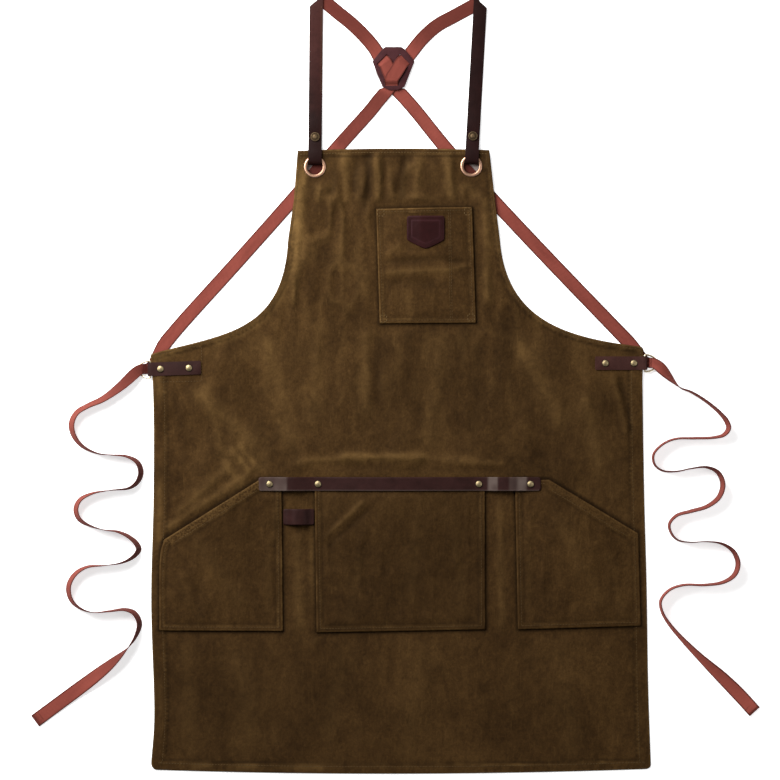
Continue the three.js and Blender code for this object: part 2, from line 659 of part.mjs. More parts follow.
// Webbing: each yoke strap runs from behind a shoulder strap, under the patch's upper edge, out over its
// face and back through its lower slot. There the other side's back strap takes over, behind the bib and
// the waist corner and up into the D-ring.
const OVER_PATCH = LEATHER + GAP + WEBBING / 2 + 0.1;
const SECOND = WEBBING + GAP + 0.1;
const WEBBING_ROUTES = {
  left_yoke_strap: [
    { x: -106.6, y: 535.3, z: WEB_Z },
    { x: -84.5, y: 516.2, z: WEB_Z },
    { x: -61.5, y: 497.5, z: WEB_Z },
    { x: -41.5, y: 477.2, z: WEB_Z },
    { x: -30.6, y: 463.2, z: WEB_Z },
    { x: -25.2, y: 453.4, z: WEB_Z },
    { x: -21.9, y: 449.7, z: WEB_Z + 0.5 },
    { x: -19.6, y: 447.4, z: WEB_Z + 2.2 },
    { x: -17.4, y: 445, z: patchLow(445) + OVER_PATCH },
    { x: -15.6, y: 442.2, z: patchLow(442) + OVER_PATCH },
    { x: -12, y: 433, z: patchLow(433) + OVER_PATCH },
    { x: -9, y: 426, z: patchLow(426) + OVER_PATCH },
    { x: -8.3, y: 423, z: patchLow(423) + OVER_PATCH },
    { x: -8.2, y: 421, z: patchLow(421) + OVER_PATCH },
    { x: -8.2, y: 419.6, z: 4.9 },
    { x: -8.2, y: 417.6, z: 2.9 },
    { x: -8.2, y: 416, z: 1.5 },
    { x: -8, y: 413.6, z: WEB_Z, level: 1 },
    { x: -6.9, y: 411.4, z: WEB_Z, level: 1 },
  ],
  right_back_strap: [
    { x: -6.5, y: 411, z: WEB_Z, level: 1 },
    { x: -3, y: 408.4, z: WEB_Z, level: 0.8 },
    { x: 1.6, y: 404.6, z: WEB_Z, level: 0.4 },
    { x: 6.4, y: 400, z: WEB_Z },
    { x: 24.5, y: 379.5, z: WEB_Z },
    { x: 67, y: 327, z: WEB_Z },
    { x: 138, y: 249, z: WEB_Z },
    { x: 220, y: 162, z: WEB_Z },
    { x: 300, y: 79, z: WEB_Z },
    { x: 322, y: 56, z: WEB_Z },
    { x: 331, y: 46, z: WEB_Z, width: 17 },
    { x: 336.5, y: 39.5, z: WEB_Z, width: 15 },
    { x: 341, y: 33.8, z: WEB_Z, width: 14.5 },
    { x: 344.8, y: 30.6, z: WEB_Z, width: 14.5 },
    { x: 347, y: 29.8, z: WEB_Z + 0.1, width: 14.5 },
    { x: 349.2, y: 29.4, z: 2.4, width: 14.5 },
    { x: 351.5, y: 29.2, z: 4.2, width: 14.5 },
  ],
  right_yoke_strap: [
    { x: 114.3, y: 529.8, z: WEB_Z },
    { x: 102.4, y: 522.9, z: WEB_Z },
    { x: 78.3, y: 509.7, z: WEB_Z },
    { x: 54.5, y: 496.5, z: WEB_Z },
    { x: 34, y: 478, z: WEB_Z },
    { x: 21.5, y: 462.5, z: WEB_Z },
    { x: 14.1, y: 453.1, z: WEB_Z },
    { x: 10.7, y: 449.7, z: WEB_Z + 0.5 },
    { x: 8.4, y: 447.4, z: WEB_Z + 2.3 },
    { x: 6.2, y: 445, z: patchLow(445) + OVER_PATCH + 0.2 },
    { x: 4.4, y: 442.6, z: patchLow(442) + OVER_PATCH + SECOND * 0.7 },
    { x: 2.6, y: 439.6, z: patchLow(440) + OVER_PATCH + SECOND },
    { x: -2.6, y: 431, z: patchLow(431) + OVER_PATCH + SECOND },
    { x: -6.8, y: 425, z: patchLow(425) + OVER_PATCH + SECOND },
    { x: -8, y: 422.4, z: patchLow(422) + OVER_PATCH + SECOND },
    { x: -8.2, y: 420.3, z: patchLow(420) + OVER_PATCH + SECOND },
    { x: -8.2, y: 418.2, z: 6.2 },
    { x: -8.2, y: 416.3, z: 4.4 },
    { x: -8.2, y: 414.8, z: 3.1 },
    { x: -8.4, y: 412.8, z: WEB_Z + SECOND, level: 1 },
    { x: -9.4, y: 411.4, z: WEB_Z + SECOND, level: 1 },
  ],
  left_back_strap: [
    { x: -9.8, y: 411, z: WEB_Z + SECOND, level: 1 },
    { x: -12.6, y: 408.4, z: WEB_Z + SECOND, level: 0.8 },
    { x: -16.3, y: 404.6, z: WEB_Z + SECOND, level: 0.4 },
    { x: -20.4, y: 400, z: WEB_Z + SECOND * 0.75 },
    { x: -28.5, y: 390.3, z: WEB_Z + 0.3 },
    { x: -37, y: 379.5, z: WEB_Z },
    { x: -84, y: 327, z: WEB_Z },
    { x: -145, y: 256, z: WEB_Z },
    { x: -225, y: 166, z: WEB_Z },
    { x: -303, y: 79.5, z: WEB_Z },
    { x: -323, y: 55, z: WEB_Z },
    { x: -331, y: 42, z: WEB_Z, width: 17 },
    { x: -336, y: 33, z: WEB_Z, width: 15 },
    { x: -340.5, y: 26, z: WEB_Z, width: 14.5 },
    { x: -344.8, y: 22, z: WEB_Z, width: 14.5 },
    { x: -347, y: 21.2, z: WEB_Z + 0.1, width: 14.5 },
    { x: -349.2, y: 20.9, z: 2.4, width: 14.5 },
    { x: -351.5, y: 20.7, z: 4.2, width: 14.5 },
  ],
};

// Waist ties: over the D-ring's curve, then in loose waves, standing on edge, flat again at the end.
// turn is the roll of the webbing, and lift how far it is held above the surface.
const TIES = {
  left_tie: [
    { x: -351.9, y: 20.66, turn: 0, lift: 3.4, width: 14.5 },
    { x: -354.6, y: 20.42, turn: 0, lift: 4.6, width: 14.5 },
    { x: -359.5, y: 18, turn: 8, lift: 4.8, width: 15 },
    { x: -366, y: 12.5, turn: 24, lift: 3.8, width: 17 },
    { x: -383, y: -3, turn: 46, lift: 1.2 },
    { x: -408, y: -21, turn: 62, lift: 0 },
    { x: -428, y: -30, turn: 68, lift: 0 },
    { x: -444, y: -40, turn: 66, lift: 0 },
    { x: -451, y: -55, turn: 62, lift: 0 },
    { x: -448, y: -71, turn: 66, lift: 0 },
    { x: -436, y: -86, turn: 74, lift: 0 },
    { x: -415, y: -96, turn: 84, lift: 0 },
    { x: -397, y: -98, turn: 90, lift: 0 },
    { x: -375, y: -100, turn: 96, lift: 0 },
    { x: -360, y: -108, turn: 104, lift: 0 },
    { x: -355, y: -122, turn: 107, lift: 0 },
    { x: -360, y: -136, turn: 105, lift: 0 },
    { x: -371, y: -144, turn: 99, lift: 0 },
    { x: -397, y: -147, turn: 92, lift: 0 },
    { x: -421, y: -151, turn: 83, lift: 0 },
    { x: -439, y: -160, turn: 72, lift: 0 },
    { x: -445, y: -173, turn: 66, lift: 0 },
    { x: -441, y: -186, turn: 68, lift: 0 },
    { x: -428, y: -195, turn: 78, lift: 0 },
    { x: -405, y: -202, turn: 88, lift: 0 },
    { x: -388, y: -204, turn: 94, lift: 0 },
    { x: -372, y: -211, turn: 100, lift: 0 },
    { x: -361, y: -221, turn: 105, lift: 0 },
    { x: -358, y: -229, turn: 107, lift: 0 },
    { x: -364, y: -238, turn: 104, lift: 0 },
    { x: -380, y: -247, turn: 97, lift: 0 },
    { x: -405, y: -251, turn: 91, lift: 0 },
    { x: -429, y: -253, turn: 82, lift: 0 },
    { x: -445, y: -262, turn: 72, lift: 0 },
    { x: -454, y: -276, turn: 67, lift: 0 },
    { x: -455, y: -288, turn: 66, lift: 0 },
    { x: -450, y: -301, turn: 70, lift: 0 },
    { x: -438, y: -311, turn: 78, lift: 0 },
    { x: -421, y: -316, turn: 86, lift: 0 },
    { x: -397, y: -314, turn: 93, lift: 0 },
    { x: -377, y: -312, turn: 98, lift: 0 },
    { x: -364, y: -317, turn: 104, lift: 0 },
    { x: -357, y: -331, turn: 106, lift: 0 },
    { x: -361, y: -347, turn: 101, lift: 0 },
    { x: -372, y: -364, turn: 90, lift: 0 },
    { x: -387, y: -379, turn: 64, lift: 0 },
    { x: -401, y: -391, turn: 44, lift: 0 },
    { x: -424, y: -409, turn: 22, lift: 0 },
    { x: -448, y: -427, turn: 6, lift: 0 },
    { x: -502, y: -467, turn: 0, lift: 0 },
  ],
  right_tie: [
    { x: 351.9, y: 29.16, turn: 0, lift: 3.4, width: 14.5 },
    { x: 354.6, y: 28.92, turn: 0, lift: 4.6, width: 14.5 },
    { x: 359.5, y: 26.4, turn: -8, lift: 4.8, width: 15 },
    { x: 366, y: 20.5, turn: -28, lift: 3.8, width: 17 },
    { x: 377, y: 8.5, turn: -60, lift: 1.2 },
    { x: 392, y: -5.5, turn: -90, lift: 0 },
    { x: 405, y: -10.5, turn: -95, lift: 0 },
    { x: 419, y: -18.5, turn: -97, lift: 0 },
    { x: 433, y: -28.5, turn: -98, lift: 0 },
    { x: 446, y: -40, turn: -100, lift: 0 },
    { x: 455, y: -51, turn: -104, lift: 0 },
    { x: 458, y: -61, turn: -104, lift: 0 },
    { x: 452, y: -70, turn: -101, lift: 0 },
    { x: 438, y: -74, turn: -98, lift: 0 },
    { x: 410, y: -75, turn: -97, lift: 0 },
    { x: 384, y: -76, turn: -95, lift: 0 },
    { x: 366, y: -84, turn: -94, lift: 0 },
    { x: 354, y: -98, turn: -94, lift: 0 },
    { x: 356, y: -112, turn: -94, lift: 0 },
    { x: 367, y: -120, turn: -95, lift: 0 },
    { x: 386, y: -121, turn: -95, lift: 0 },
    { x: 406, y: -117, turn: -95, lift: 0 },
    { x: 427, y: -115, turn: -98, lift: 0 },
    { x: 443, y: -122, turn: -103, lift: 0 },
    { x: 450, y: -138, turn: -105, lift: 0 },
    { x: 445, y: -156, turn: -104, lift: 0 },
    { x: 429, y: -169, turn: -101, lift: 0 },
    { x: 406, y: -176, turn: -100, lift: 0 },
    { x: 386, y: -182, turn: -97, lift: 0 },
    { x: 376, y: -194, turn: -95, lift: 0 },
    { x: 379, y: -207, turn: -95, lift: 0 },
    { x: 388, y: -216, turn: -95, lift: 0 },
    { x: 406, y: -219, turn: -94, lift: 0 },
    { x: 427, y: -218, turn: -94, lift: 0 },
    { x: 449, y: -221, turn: -98, lift: 0 },
    { x: 465, y: -232, turn: -103, lift: 0 },
    { x: 471, y: -249, turn: -104, lift: 0 },
    { x: 466, y: -264, turn: -102, lift: 0 },
    { x: 451, y: -274, turn: -98, lift: 0 },
    { x: 425, y: -278, turn: -95, lift: 0 },
    { x: 396, y: -278, turn: -94, lift: 0 },
    { x: 376, y: -285, turn: -94, lift: 0 },
    { x: 364, y: -300, turn: -95, lift: 0 },
    { x: 366, y: -315, turn: -97, lift: 0 },
    { x: 376, y: -332, turn: -101, lift: 0 },
    { x: 395, y: -354, turn: -108, lift: 0 },
    { x: 420, y: -379, turn: -122, lift: 0 },
    { x: 449, y: -406, turn: -150, lift: 0 },
    { x: 474, y: -431, turn: -172, lift: 0 },
    { x: 495, y: -454, turn: -180, lift: 0 },
  ],
};
const TIE_CLEAR = 2 * GAP;     // least height of a tie above the surface
function tieRoute(rows) {
  return rows.map(({ x, y, turn, lift, width = WEBBING_WIDTH }) => {
    const angle = THREE.MathUtils.degToRad(turn);
    const reach = (Math.abs(Math.sin(angle)) * width + Math.abs(Math.cos(angle)) * WEBBING) / 2;
    return { x, y, z: TIE_CLEAR + reach + lift, roll: turn, width };
  });
}

// Assembly
const apron = new THREE.Group();
apron.name = 'grill_apron';
const wholePanel = bodyPanel();
const middlePanel = SIDES.reduce((left, side) => left.subtract(wingBlock(side, -GAP / 2)), wholePanel);
apron.add(mesh('body_panel', geometryOf(middlePanel), canvas()));
for (const side of SIDES) {
  const wing = wholePanel.intersect(wingBlock(side, GAP / 2));
  apron.add(mesh(`${side.name}_wing`, geometryOf(wing), canvas()));
}
for (const [name, spec] of Object.entries(POCKETS)) {
  apron.add(mesh(name, geometryOf(pocket(spec)), canvas()));
}
apron.add(mesh('label_patch', geometryOf(labelPatch()), leather()));
apron.add(mesh('pocket_strip', geometryOf(pocketStrip()), leather()));
apron.add(mesh('tool_loop', toolLoop(), leather()));
stripRivets.forEach(([x, y], i) => {
  const capLow = stripSeats[i] + LEATHER + GAP;
  const pin = mesh(`strip_rivet_${i + 1}`, rivet(RIVET_CAP_R, 0, capLow), brass());
  pin.position.set(x, y, 0);
  apron.add(pin);
});
for (const side of SIDES) {
  const { name } = side;
  apron.add(mesh(`${name}_eyelet`, eyelet(side), copper()));
  apron.add(mesh(`${name}_shoulder_strap`, geometryOf(shoulderStrap(side)), leather()));
  const snap = mesh(`${name}_snap`, rivet(SNAP_CAP_R, 0, STRAP_SNAP_Z + LEATHER / 2 + 2 * GAP), antique());
  snap.position.set(...snapPlace(side), 0);
  apron.add(snap);
  apron.add(mesh(`${name}_tab`, geometryOf(sideTab(side)), leather()));
  tabRivets(side).forEach(([x, y], i) => {
    const backLow = UNDER_LEATHER_Z - LEATHER / 2 - GAP - RIVET_BACK;
    const pin = mesh(`${name}_tab_rivet_${i + 1}`, rivet(RIVET_CAP_R, backLow, CAP_ON_TAB), brass());
    pin.position.set(x, y, 0);
    apron.add(pin);
  });
  apron.add(mesh(`${name}_ring`, dRing(side), paleBrass()));
}
apron.add(mesh('cross_patch', crossPatch(), leather()));
for (const [name, route] of Object.entries(WEBBING_ROUTES)) {
  const size = { width: WEBBING_WIDTH, thickness: WEBBING, steps: 2 };
  apron.add(mesh(name, ribbon(route, size), webbing()));
}
for (const [name, rows] of Object.entries(TIES)) {
  const size = { width: WEBBING_WIDTH, thickness: WEBBING, steps: 2 };
  apron.add(mesh(name, ribbon(tieRoute(rows), size), webbing()));
}

export default apron;
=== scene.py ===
"""Grill apron of waxed canvas, leather and webbing, laid flat and face up, seen from straight above."""

import math

import bmesh
import bpy
import numpy as np
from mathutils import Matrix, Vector, kdtree
from mathutils.bvhtree import BVHTree
from mathutils.geometry import delaunay_2d_cdt


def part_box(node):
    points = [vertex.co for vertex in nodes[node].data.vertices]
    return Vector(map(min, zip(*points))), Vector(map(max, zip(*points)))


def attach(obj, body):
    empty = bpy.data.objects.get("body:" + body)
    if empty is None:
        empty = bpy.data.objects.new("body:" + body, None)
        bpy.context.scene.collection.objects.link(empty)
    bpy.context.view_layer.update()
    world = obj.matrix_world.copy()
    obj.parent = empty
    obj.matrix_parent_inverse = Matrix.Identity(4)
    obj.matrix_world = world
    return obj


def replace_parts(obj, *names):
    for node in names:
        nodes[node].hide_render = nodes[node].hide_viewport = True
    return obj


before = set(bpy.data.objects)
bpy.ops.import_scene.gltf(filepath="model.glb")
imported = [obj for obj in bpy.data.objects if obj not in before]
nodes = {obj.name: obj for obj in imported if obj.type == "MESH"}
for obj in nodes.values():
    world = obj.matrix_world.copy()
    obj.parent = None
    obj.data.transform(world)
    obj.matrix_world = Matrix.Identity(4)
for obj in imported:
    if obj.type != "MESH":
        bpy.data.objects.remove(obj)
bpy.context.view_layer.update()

MM = 0.001
WEBBING_WIDTH = 19.0           # millimetres, as are all sizes in the tables below
WEBBING_THICK = 1.2
CANVAS_THICK = 1.3
LEATHER_THICK = 1.6
EYELET_BORE = 11.6             # radius of the canvas cut out under an eyelet
ABOVE_ALL = 500.0              # a height over every piece
PHOTO_SCALE = 1.385            # millimetres for each pixel of the 780 x 780 picture
PHOTO_MIDDLE = (397.5, 384.0)  # the pixel at the frame's origin
SIDES = ("left", "right")


def at(px, py):
    """The place in the frame, in millimetres, that a pixel of the picture shows."""
    return (px - PHOTO_MIDDLE[0]) * PHOTO_SCALE, (PHOTO_MIDDLE[1] - py) * PHOTO_SCALE


def smoothstep(low, high, value):
    t = np.clip((value - low) / (high - low), 0.0, 1.0)
    return t * t * (3 - 2 * t)


def bell(value, middle, width):
    """1 at the middle, falling to 0 on both sides of it."""
    return np.exp(-((value - middle) / width) ** 2)


def bilinear(table, i, j, u, v):
    """A table's values between neighbouring cells. The table repeats past its ends."""
    rows, columns = table.shape
    low, high = (table[k % rows, i % columns] * (1 - u) + table[k % rows, (i + 1) % columns] * u
                 for k in (j, j + 1))
    return low * (1 - v) + high * v


def ripple(xy, size_x, size_y, seed):
    """Smooth noise from -1 to 1 over points in millimetres, with cells of the given size."""
    table = np.random.default_rng(seed).uniform(-1, 1, (256, 256))
    spot = xy / (size_x, size_y) + 100
    cell = np.floor(spot)
    return bilinear(table, *cell.astype(int).T, *smoothstep(0, 1, spot - cell).T)


def bent(xy, by, size, seed):
    """Points pushed along the diagonal by smooth noise, to make other noise wander."""
    return xy + by * ripple(xy, size, size, seed)[:, None]


def from_line(xy, start, end):
    """Distance of each point from a straight line between two points, or from a line of its own."""
    start = np.asarray(start)
    along = np.asarray(end) - start
    t = np.clip(((xy - start) * along).sum(axis=1) / (along ** 2).sum(axis=-1), 0, 1)
    return np.linalg.norm(xy - start - t[:, None] * along, axis=1)


def lengths(line):
    """The length along a line up to each of its points."""
    return np.concatenate([[0], np.cumsum(np.linalg.norm(np.diff(line, axis=0), axis=1))])


def unit(vectors):
    return vectors / np.linalg.norm(vectors, axis=1)[:, None]


def leftward(ahead):
    """Unit vectors in x and y to the left of some directions."""
    return unit(np.stack([-ahead[:, 1], ahead[:, 0]], axis=1))


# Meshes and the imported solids

def box_mm(source):
    """A node's lowest and highest corners in millimetres."""
    return [np.array(corner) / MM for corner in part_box(source)]


def ridden(name, mesh, finish):
    """A smooth-shaded object of a mesh, riding on the frame."""
    mesh.polygons.foreach_set("use_smooth", [True] * len(mesh.polygons))
    mesh.materials.append(finish)
    piece = bpy.data.objects.new(name, mesh)
    bpy.context.collection.objects.link(piece)
    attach(piece, "root")
    return piece


def make(name, points, faces, finish, uv=None, marks=None):
    """An object from points in metres, with values stored on its points."""
    mesh = bpy.data.meshes.new(name)
    mesh.from_pydata(np.asarray(points).tolist(), [], [list(map(int, f)) for f in faces])
    if uv is not None:
        layer = mesh.uv_layers.new(name="UVMap")
        corner = np.empty(len(mesh.loops), int)
        mesh.loops.foreach_get("vertex_index", corner)
        layer.data.foreach_set("uv", np.asarray(uv)[corner].ravel())
    for key, values in (marks or {}).items():
        layer = mesh.attributes.new(key, "FLOAT", "POINT")
        layer.data.foreach_set("value", np.asarray(values, float))
    mesh.validate()
    return ridden(name, mesh, finish)


def skin(rings, around, ends="flat"):
    """Faces between neighbouring rings of points. The ends are flat, open or joined to each other."""
    faces = []
    for k in range(rings if ends == "joined" else rings - 1):
        here, there = k * around, (k + 1) % rings * around
        for j in range(around):
            ahead = (j + 1) % around
            faces.append((here + j, here + ahead, there + ahead, there + j))
    if ends == "flat":
        faces.append(tuple(reversed(range(around))))
        faces.append(tuple((rings - 1) * around + j for j in range(around)))
    return faces


def welded(source):
    """A node's points in millimetres, merged where they coincide, and its triangles."""
    mesh = nodes[source].data
    mesh.calc_loop_triangles()
    points = np.empty(len(mesh.vertices) * 3)
    mesh.vertices.foreach_get("co", points)
    points = points.reshape(-1, 3) / MM
    tris = np.empty(len(mesh.loop_triangles) * 3, int)
    mesh.loop_triangles.foreach_get("vertices", tris)
    keys = np.round(points * 1e3).astype(np.int64)
    _, first, same = np.unique(keys, axis=0, return_index=True, return_inverse=True)
    tris = same.reshape(-1)[tris].reshape(-1, 3)
    whole = (tris[:, 0] != tris[:, 1]) & (tris[:, 1] != tris[:, 2]) & (tris[:, 2] != tris[:, 0])
    return points[first], tris[whole]


def open_edges(tris):
    """The edges that only one of the triangles has, as a map from each point to the next."""
    edges = np.vstack([tris[:, [0, 1]], tris[:, [1, 2]], tris[:, [2, 0]]])
    present = {(int(i), int(j)) for i, j in edges}
    return {i: j for i, j in sorted(present) if (j, i) not in present}


def rim(source):
    """The outer edge of a node's upper face, in order, without the points that lie on straight runs."""
    points, tris = welded(source)
    a, b, c = (points[tris[:, k]] for k in range(3))
    normal = np.cross(b - a, c - a)
    upper = tris[normal[:, 2] > 0.5 * np.linalg.norm(normal, axis=1)]
    follow = open_edges(upper)
    loops = []
    while follow:
        start, here = follow.popitem()
        loop = [start]
        while here != start and here in follow:
            loop.append(here)
            here = follow.pop(here)
        loops.append(points[loop][:, :2])
    loop = max(loops, key=lambda p: np.ptp(p[:, 0]))
    return loop[np.abs(turning(loop)) > math.radians(0.6)]


def turning(loop):
    """The angle that a closed loop turns through at each of its points."""
    back = loop - np.roll(loop, 1, axis=0)
    ahead = np.roll(loop, -1, axis=0) - loop
    cross = back[:, 0] * ahead[:, 1] - back[:, 1] * ahead[:, 0]
    return np.arctan2(cross, (back * ahead).sum(axis=1))


def catmull_rom(points, steps):
    """A smooth line through points: centripetal, with its ends carried straight on."""
    p = np.asarray(points, float)
    p = np.vstack([2 * p[0] - p[1], p, 2 * p[-1] - p[-2]])
    out = []
    for k in range(1, len(p) - 2):
        p0, p1, p2, p3 = p[k - 1:k + 3]
        d0, d1, d2 = (max(np.linalg.norm(b[:3] - a[:3]), 1e-6) ** 0.5
                      for a, b in ((p0, p1), (p1, p2), (p2, p3)))
        t1 = ((p1 - p0) / d0 - (p2 - p0) / (d0 + d1) + (p2 - p1) / d1) * d1
        t2 = ((p2 - p1) / d1 - (p3 - p1) / (d1 + d2) + (p3 - p2) / d2) * d1
        t = np.linspace(0, 1, steps, endpoint=False)[:, None]
        out.append(p1 + t1 * t + (3 * (p2 - p1) - 2 * t1 - t2) * t ** 2
                   + (2 * (p1 - p2) + t1 + t2) * t ** 3)
    out.append(p[-2][None])
    return np.vstack(out)


def spaced(line, step):
    """Points along a line at even steps, both ends kept."""
    line = np.asarray(line, float)
    length = lengths(line)
    count = max(int(round(length[-1] / step)), 1)
    where = np.linspace(0, length[-1], count + 1)
    return np.stack([np.interp(where, length, line[:, k]) for k in range(line.shape[1])], axis=1)


SHARP_TURN = math.radians(28)  # a loop that turns by more than this at a point has a corner there


def runs(loop):
    """A closed loop cut at its corners into smooth runs, in order."""
    sharp = np.flatnonzero(np.abs(turning(loop)) > SHARP_TURN)
    pieces = []
    for a, b in zip(sharp, np.roll(sharp, -1)):
        index = np.arange(a, b + 1 if b > a else b + 1 + len(loop)) % len(loop)
        pieces.append(catmull_rom(loop[index], 12) if len(index) > 2 else loop[index])
    return pieces


def bezier(*controls):
    """Points along a Bezier curve with three or four control points."""
    t = np.linspace(0, 1, 40)[:, None]
    line = [np.array(c, float)[None].repeat(len(t), axis=0) for c in controls]
    while len(line) > 1:
        line = [a * (1 - t) + b * t for a, b in zip(line, line[1:])]
    return line[0]


def panel_runs():
    """The body panel's edge in six runs, inside on the left: left armhole, side, hem, side, armhole, top."""
    left_side = catmull_rom([(-341.5, 34), (-338.6, -8), (-338, -150), (-341.4, -299), (-337.2, -465),
                             (-341.4, -525)], 16)
    right_side = catmull_rom([(351.1, -526), (347.6, -424), (345.1, -271), (342.1, -160), (339.3, 5)], 16)
    return [
        np.vstack([[(-138.4, 323), (-143.6, 255)],
                   bezier((-151.7, 199.4), (-158.3, 68.4), (-244, 69.4), (-341, 41.6)),
                   bezier((-341, 41.6), (-343, 40), (-341.5, 34))[1:]]),
        np.vstack([left_side, bezier((-341.4, -525), (-341, -534), (-333, -534.8))[1:]]),
        np.vstack([bezier((-333, -534.8), (3.5, -546), (344, -533.6)),
                   bezier((344, -533.6), (351.5, -533), (351.1, -526))[1:]]),
        np.vstack([right_side, bezier((340.5, 47), (340.5, 51.5), (335, 52))]),
        np.vstack([bezier((335, 52), (239, 64), (151, 85), (142, 199.4)), [(135, 255), (127.3, 324)]]),
        bezier((127.3, 324), (-7.6, 328.6), (-138.4, 323)),
    ]


def height_under(tree, x, y):
    """The height of a surface's top at x and y, or NaN beside it."""
    hit = tree.ray_cast(Vector((x, y, ABOVE_ALL)), Vector((0, 0, -1)))[0]
    return math.nan if hit is None else hit.z


class Relief:
    """The height of some nodes' upper faces, sampled on a grid and softened."""

    def __init__(self, names, pitch=4.0, soften=6):
        points, tris = np.empty((0, 3)), np.empty((0, 3), int)
        for name in names:
            more, faces = welded(name)
            tris = np.vstack([tris, faces + len(points)])
            points = np.vstack([points, more])
        tree = BVHTree.FromPolygons(points.tolist(), tris.tolist())
        low, high = points.min(axis=0) - 3 * pitch, points.max(axis=0) + 3 * pitch
        self.low, self.pitch = low[:2], pitch
        columns, rows = (np.ceil((high - low)[:2] / pitch)).astype(int) + 1
        z = np.array([[height_under(tree, low[0] + i * pitch, low[1] + j * pitch) for i in range(columns)]
                      for j in range(rows)])
        while np.isnan(z).any():
            known = np.pad(z, 1, constant_values=np.nan)
            near = np.stack([known[a:a + rows, b:b + columns] for a in range(3) for b in range(3)])
            count = (~np.isnan(near)).sum(axis=0)
            mean = np.nansum(near, axis=0) / np.maximum(count, 1)
            z = np.where(np.isnan(z) & (count > 0), mean, z)
        for _ in range(soften):
            wide = np.pad(z, 1, mode="edge")
            z = (wide[:-2, 1:-1] + wide[2:, 1:-1] + wide[1:-1, :-2] + wide[1:-1, 2:] + 4 * z) / 8
        self.z = z

    def __call__(self, xy):
        spot = np.clip((xy - self.low) / self.pitch, 0, np.array(self.z.shape[::-1]) - 1.001)
        cell = np.floor(spot)
        return bilinear(self.z, *cell.astype(int).T, *(spot - cell).T)


# Procedural materials

def material(name):
    """A new node material: its tree and its Principled shader."""
    made = bpy.data.materials.new(name)
    made.use_nodes = True
    return made, made.node_tree, made.node_tree.nodes["Principled BSDF"]


def feed(socket, value):
    """Links an input socket to a node's output, or sets it to a constant."""
    if isinstance(value, bpy.types.NodeSocket):
        socket.id_data.links.new(value, socket)
    else:
        socket.default_value = value


def wire(made, **sockets):
    """A shader node with its input sockets fed by name."""
    for key, value in sockets.items():
        feed(made.inputs[key.replace("_", " ")], value)
    return made


def node(tree, kind, **sockets):
    return wire(tree.nodes.new(kind), **sockets)


def placed(tree, stretch=(1, 1, 1), turn=0.0, uv=False):
    """Object or surface coordinates, scaled along each axis and turned about Z by some degrees."""
    source = tree.nodes.new("ShaderNodeTexCoord").outputs["UV" if uv else "Object"]
    return node(tree, "ShaderNodeMapping", Vector=source, Scale=stretch,
                Rotation=(0, 0, math.radians(turn))).outputs[0]


def noise(vector, scale, detail=3.0, rough=0.55, distort=0.0):
    return node(vector.id_data, "ShaderNodeTexNoise", Vector=vector, Scale=scale, Detail=detail,
                Roughness=rough, Distortion=distort).outputs["Fac"]


def remap(value, low, high, out_low=0.0, out_high=1.0):
    return node(value.id_data, "ShaderNodeMapRange", Value=value, From_Min=low, From_Max=high,
                To_Min=out_low, To_Max=out_high).outputs["Result"]


def maths(how, a, b):
    made = a.id_data.nodes.new("ShaderNodeMath")
    made.operation = how
    feed(made.inputs[0], a)
    feed(made.inputs[1], b)
    return made.outputs[0]


def coated(colour, *coats):
    """A colour with others laid over it in order, each mixed in by its factor."""
    for factor, coat in coats:
        made = factor.id_data.nodes.new("ShaderNodeMix")
        made.data_type = "RGBA"
        for k, value in ((0, factor), (6, colour), (7, coat)):
            feed(made.inputs[k], value)
        colour = made.outputs[2]
    return colour


def bumped(*layers):
    """A normal from bumps over one another, each a height, a strength and a depth in metres."""
    normal = None
    for height, strength, distance in layers:
        made = node(height.id_data, "ShaderNodeBump", Height=height, Strength=strength, Distance=distance)
        if normal is not None:
            feed(made.inputs["Normal"], normal)
        normal = made.outputs[0]
    return normal


def bands(vector, pitch, across="X"):
    """A sine wave of the given pitch in metres along X or Y."""
    made = node(vector.id_data, "ShaderNodeTexWave", Vector=vector, Scale=math.pi / 10 / pitch)
    made.bands_direction = across
    return made.outputs["Fac"]


def mark(tree, name):
    """A value stored on the mesh's points."""
    made = tree.nodes.new("ShaderNodeAttribute")
    made.attribute_name = name
    return made.outputs["Fac"]


def tint(colour, factor):
    return (*(c * factor for c in colour[:3]), 1)


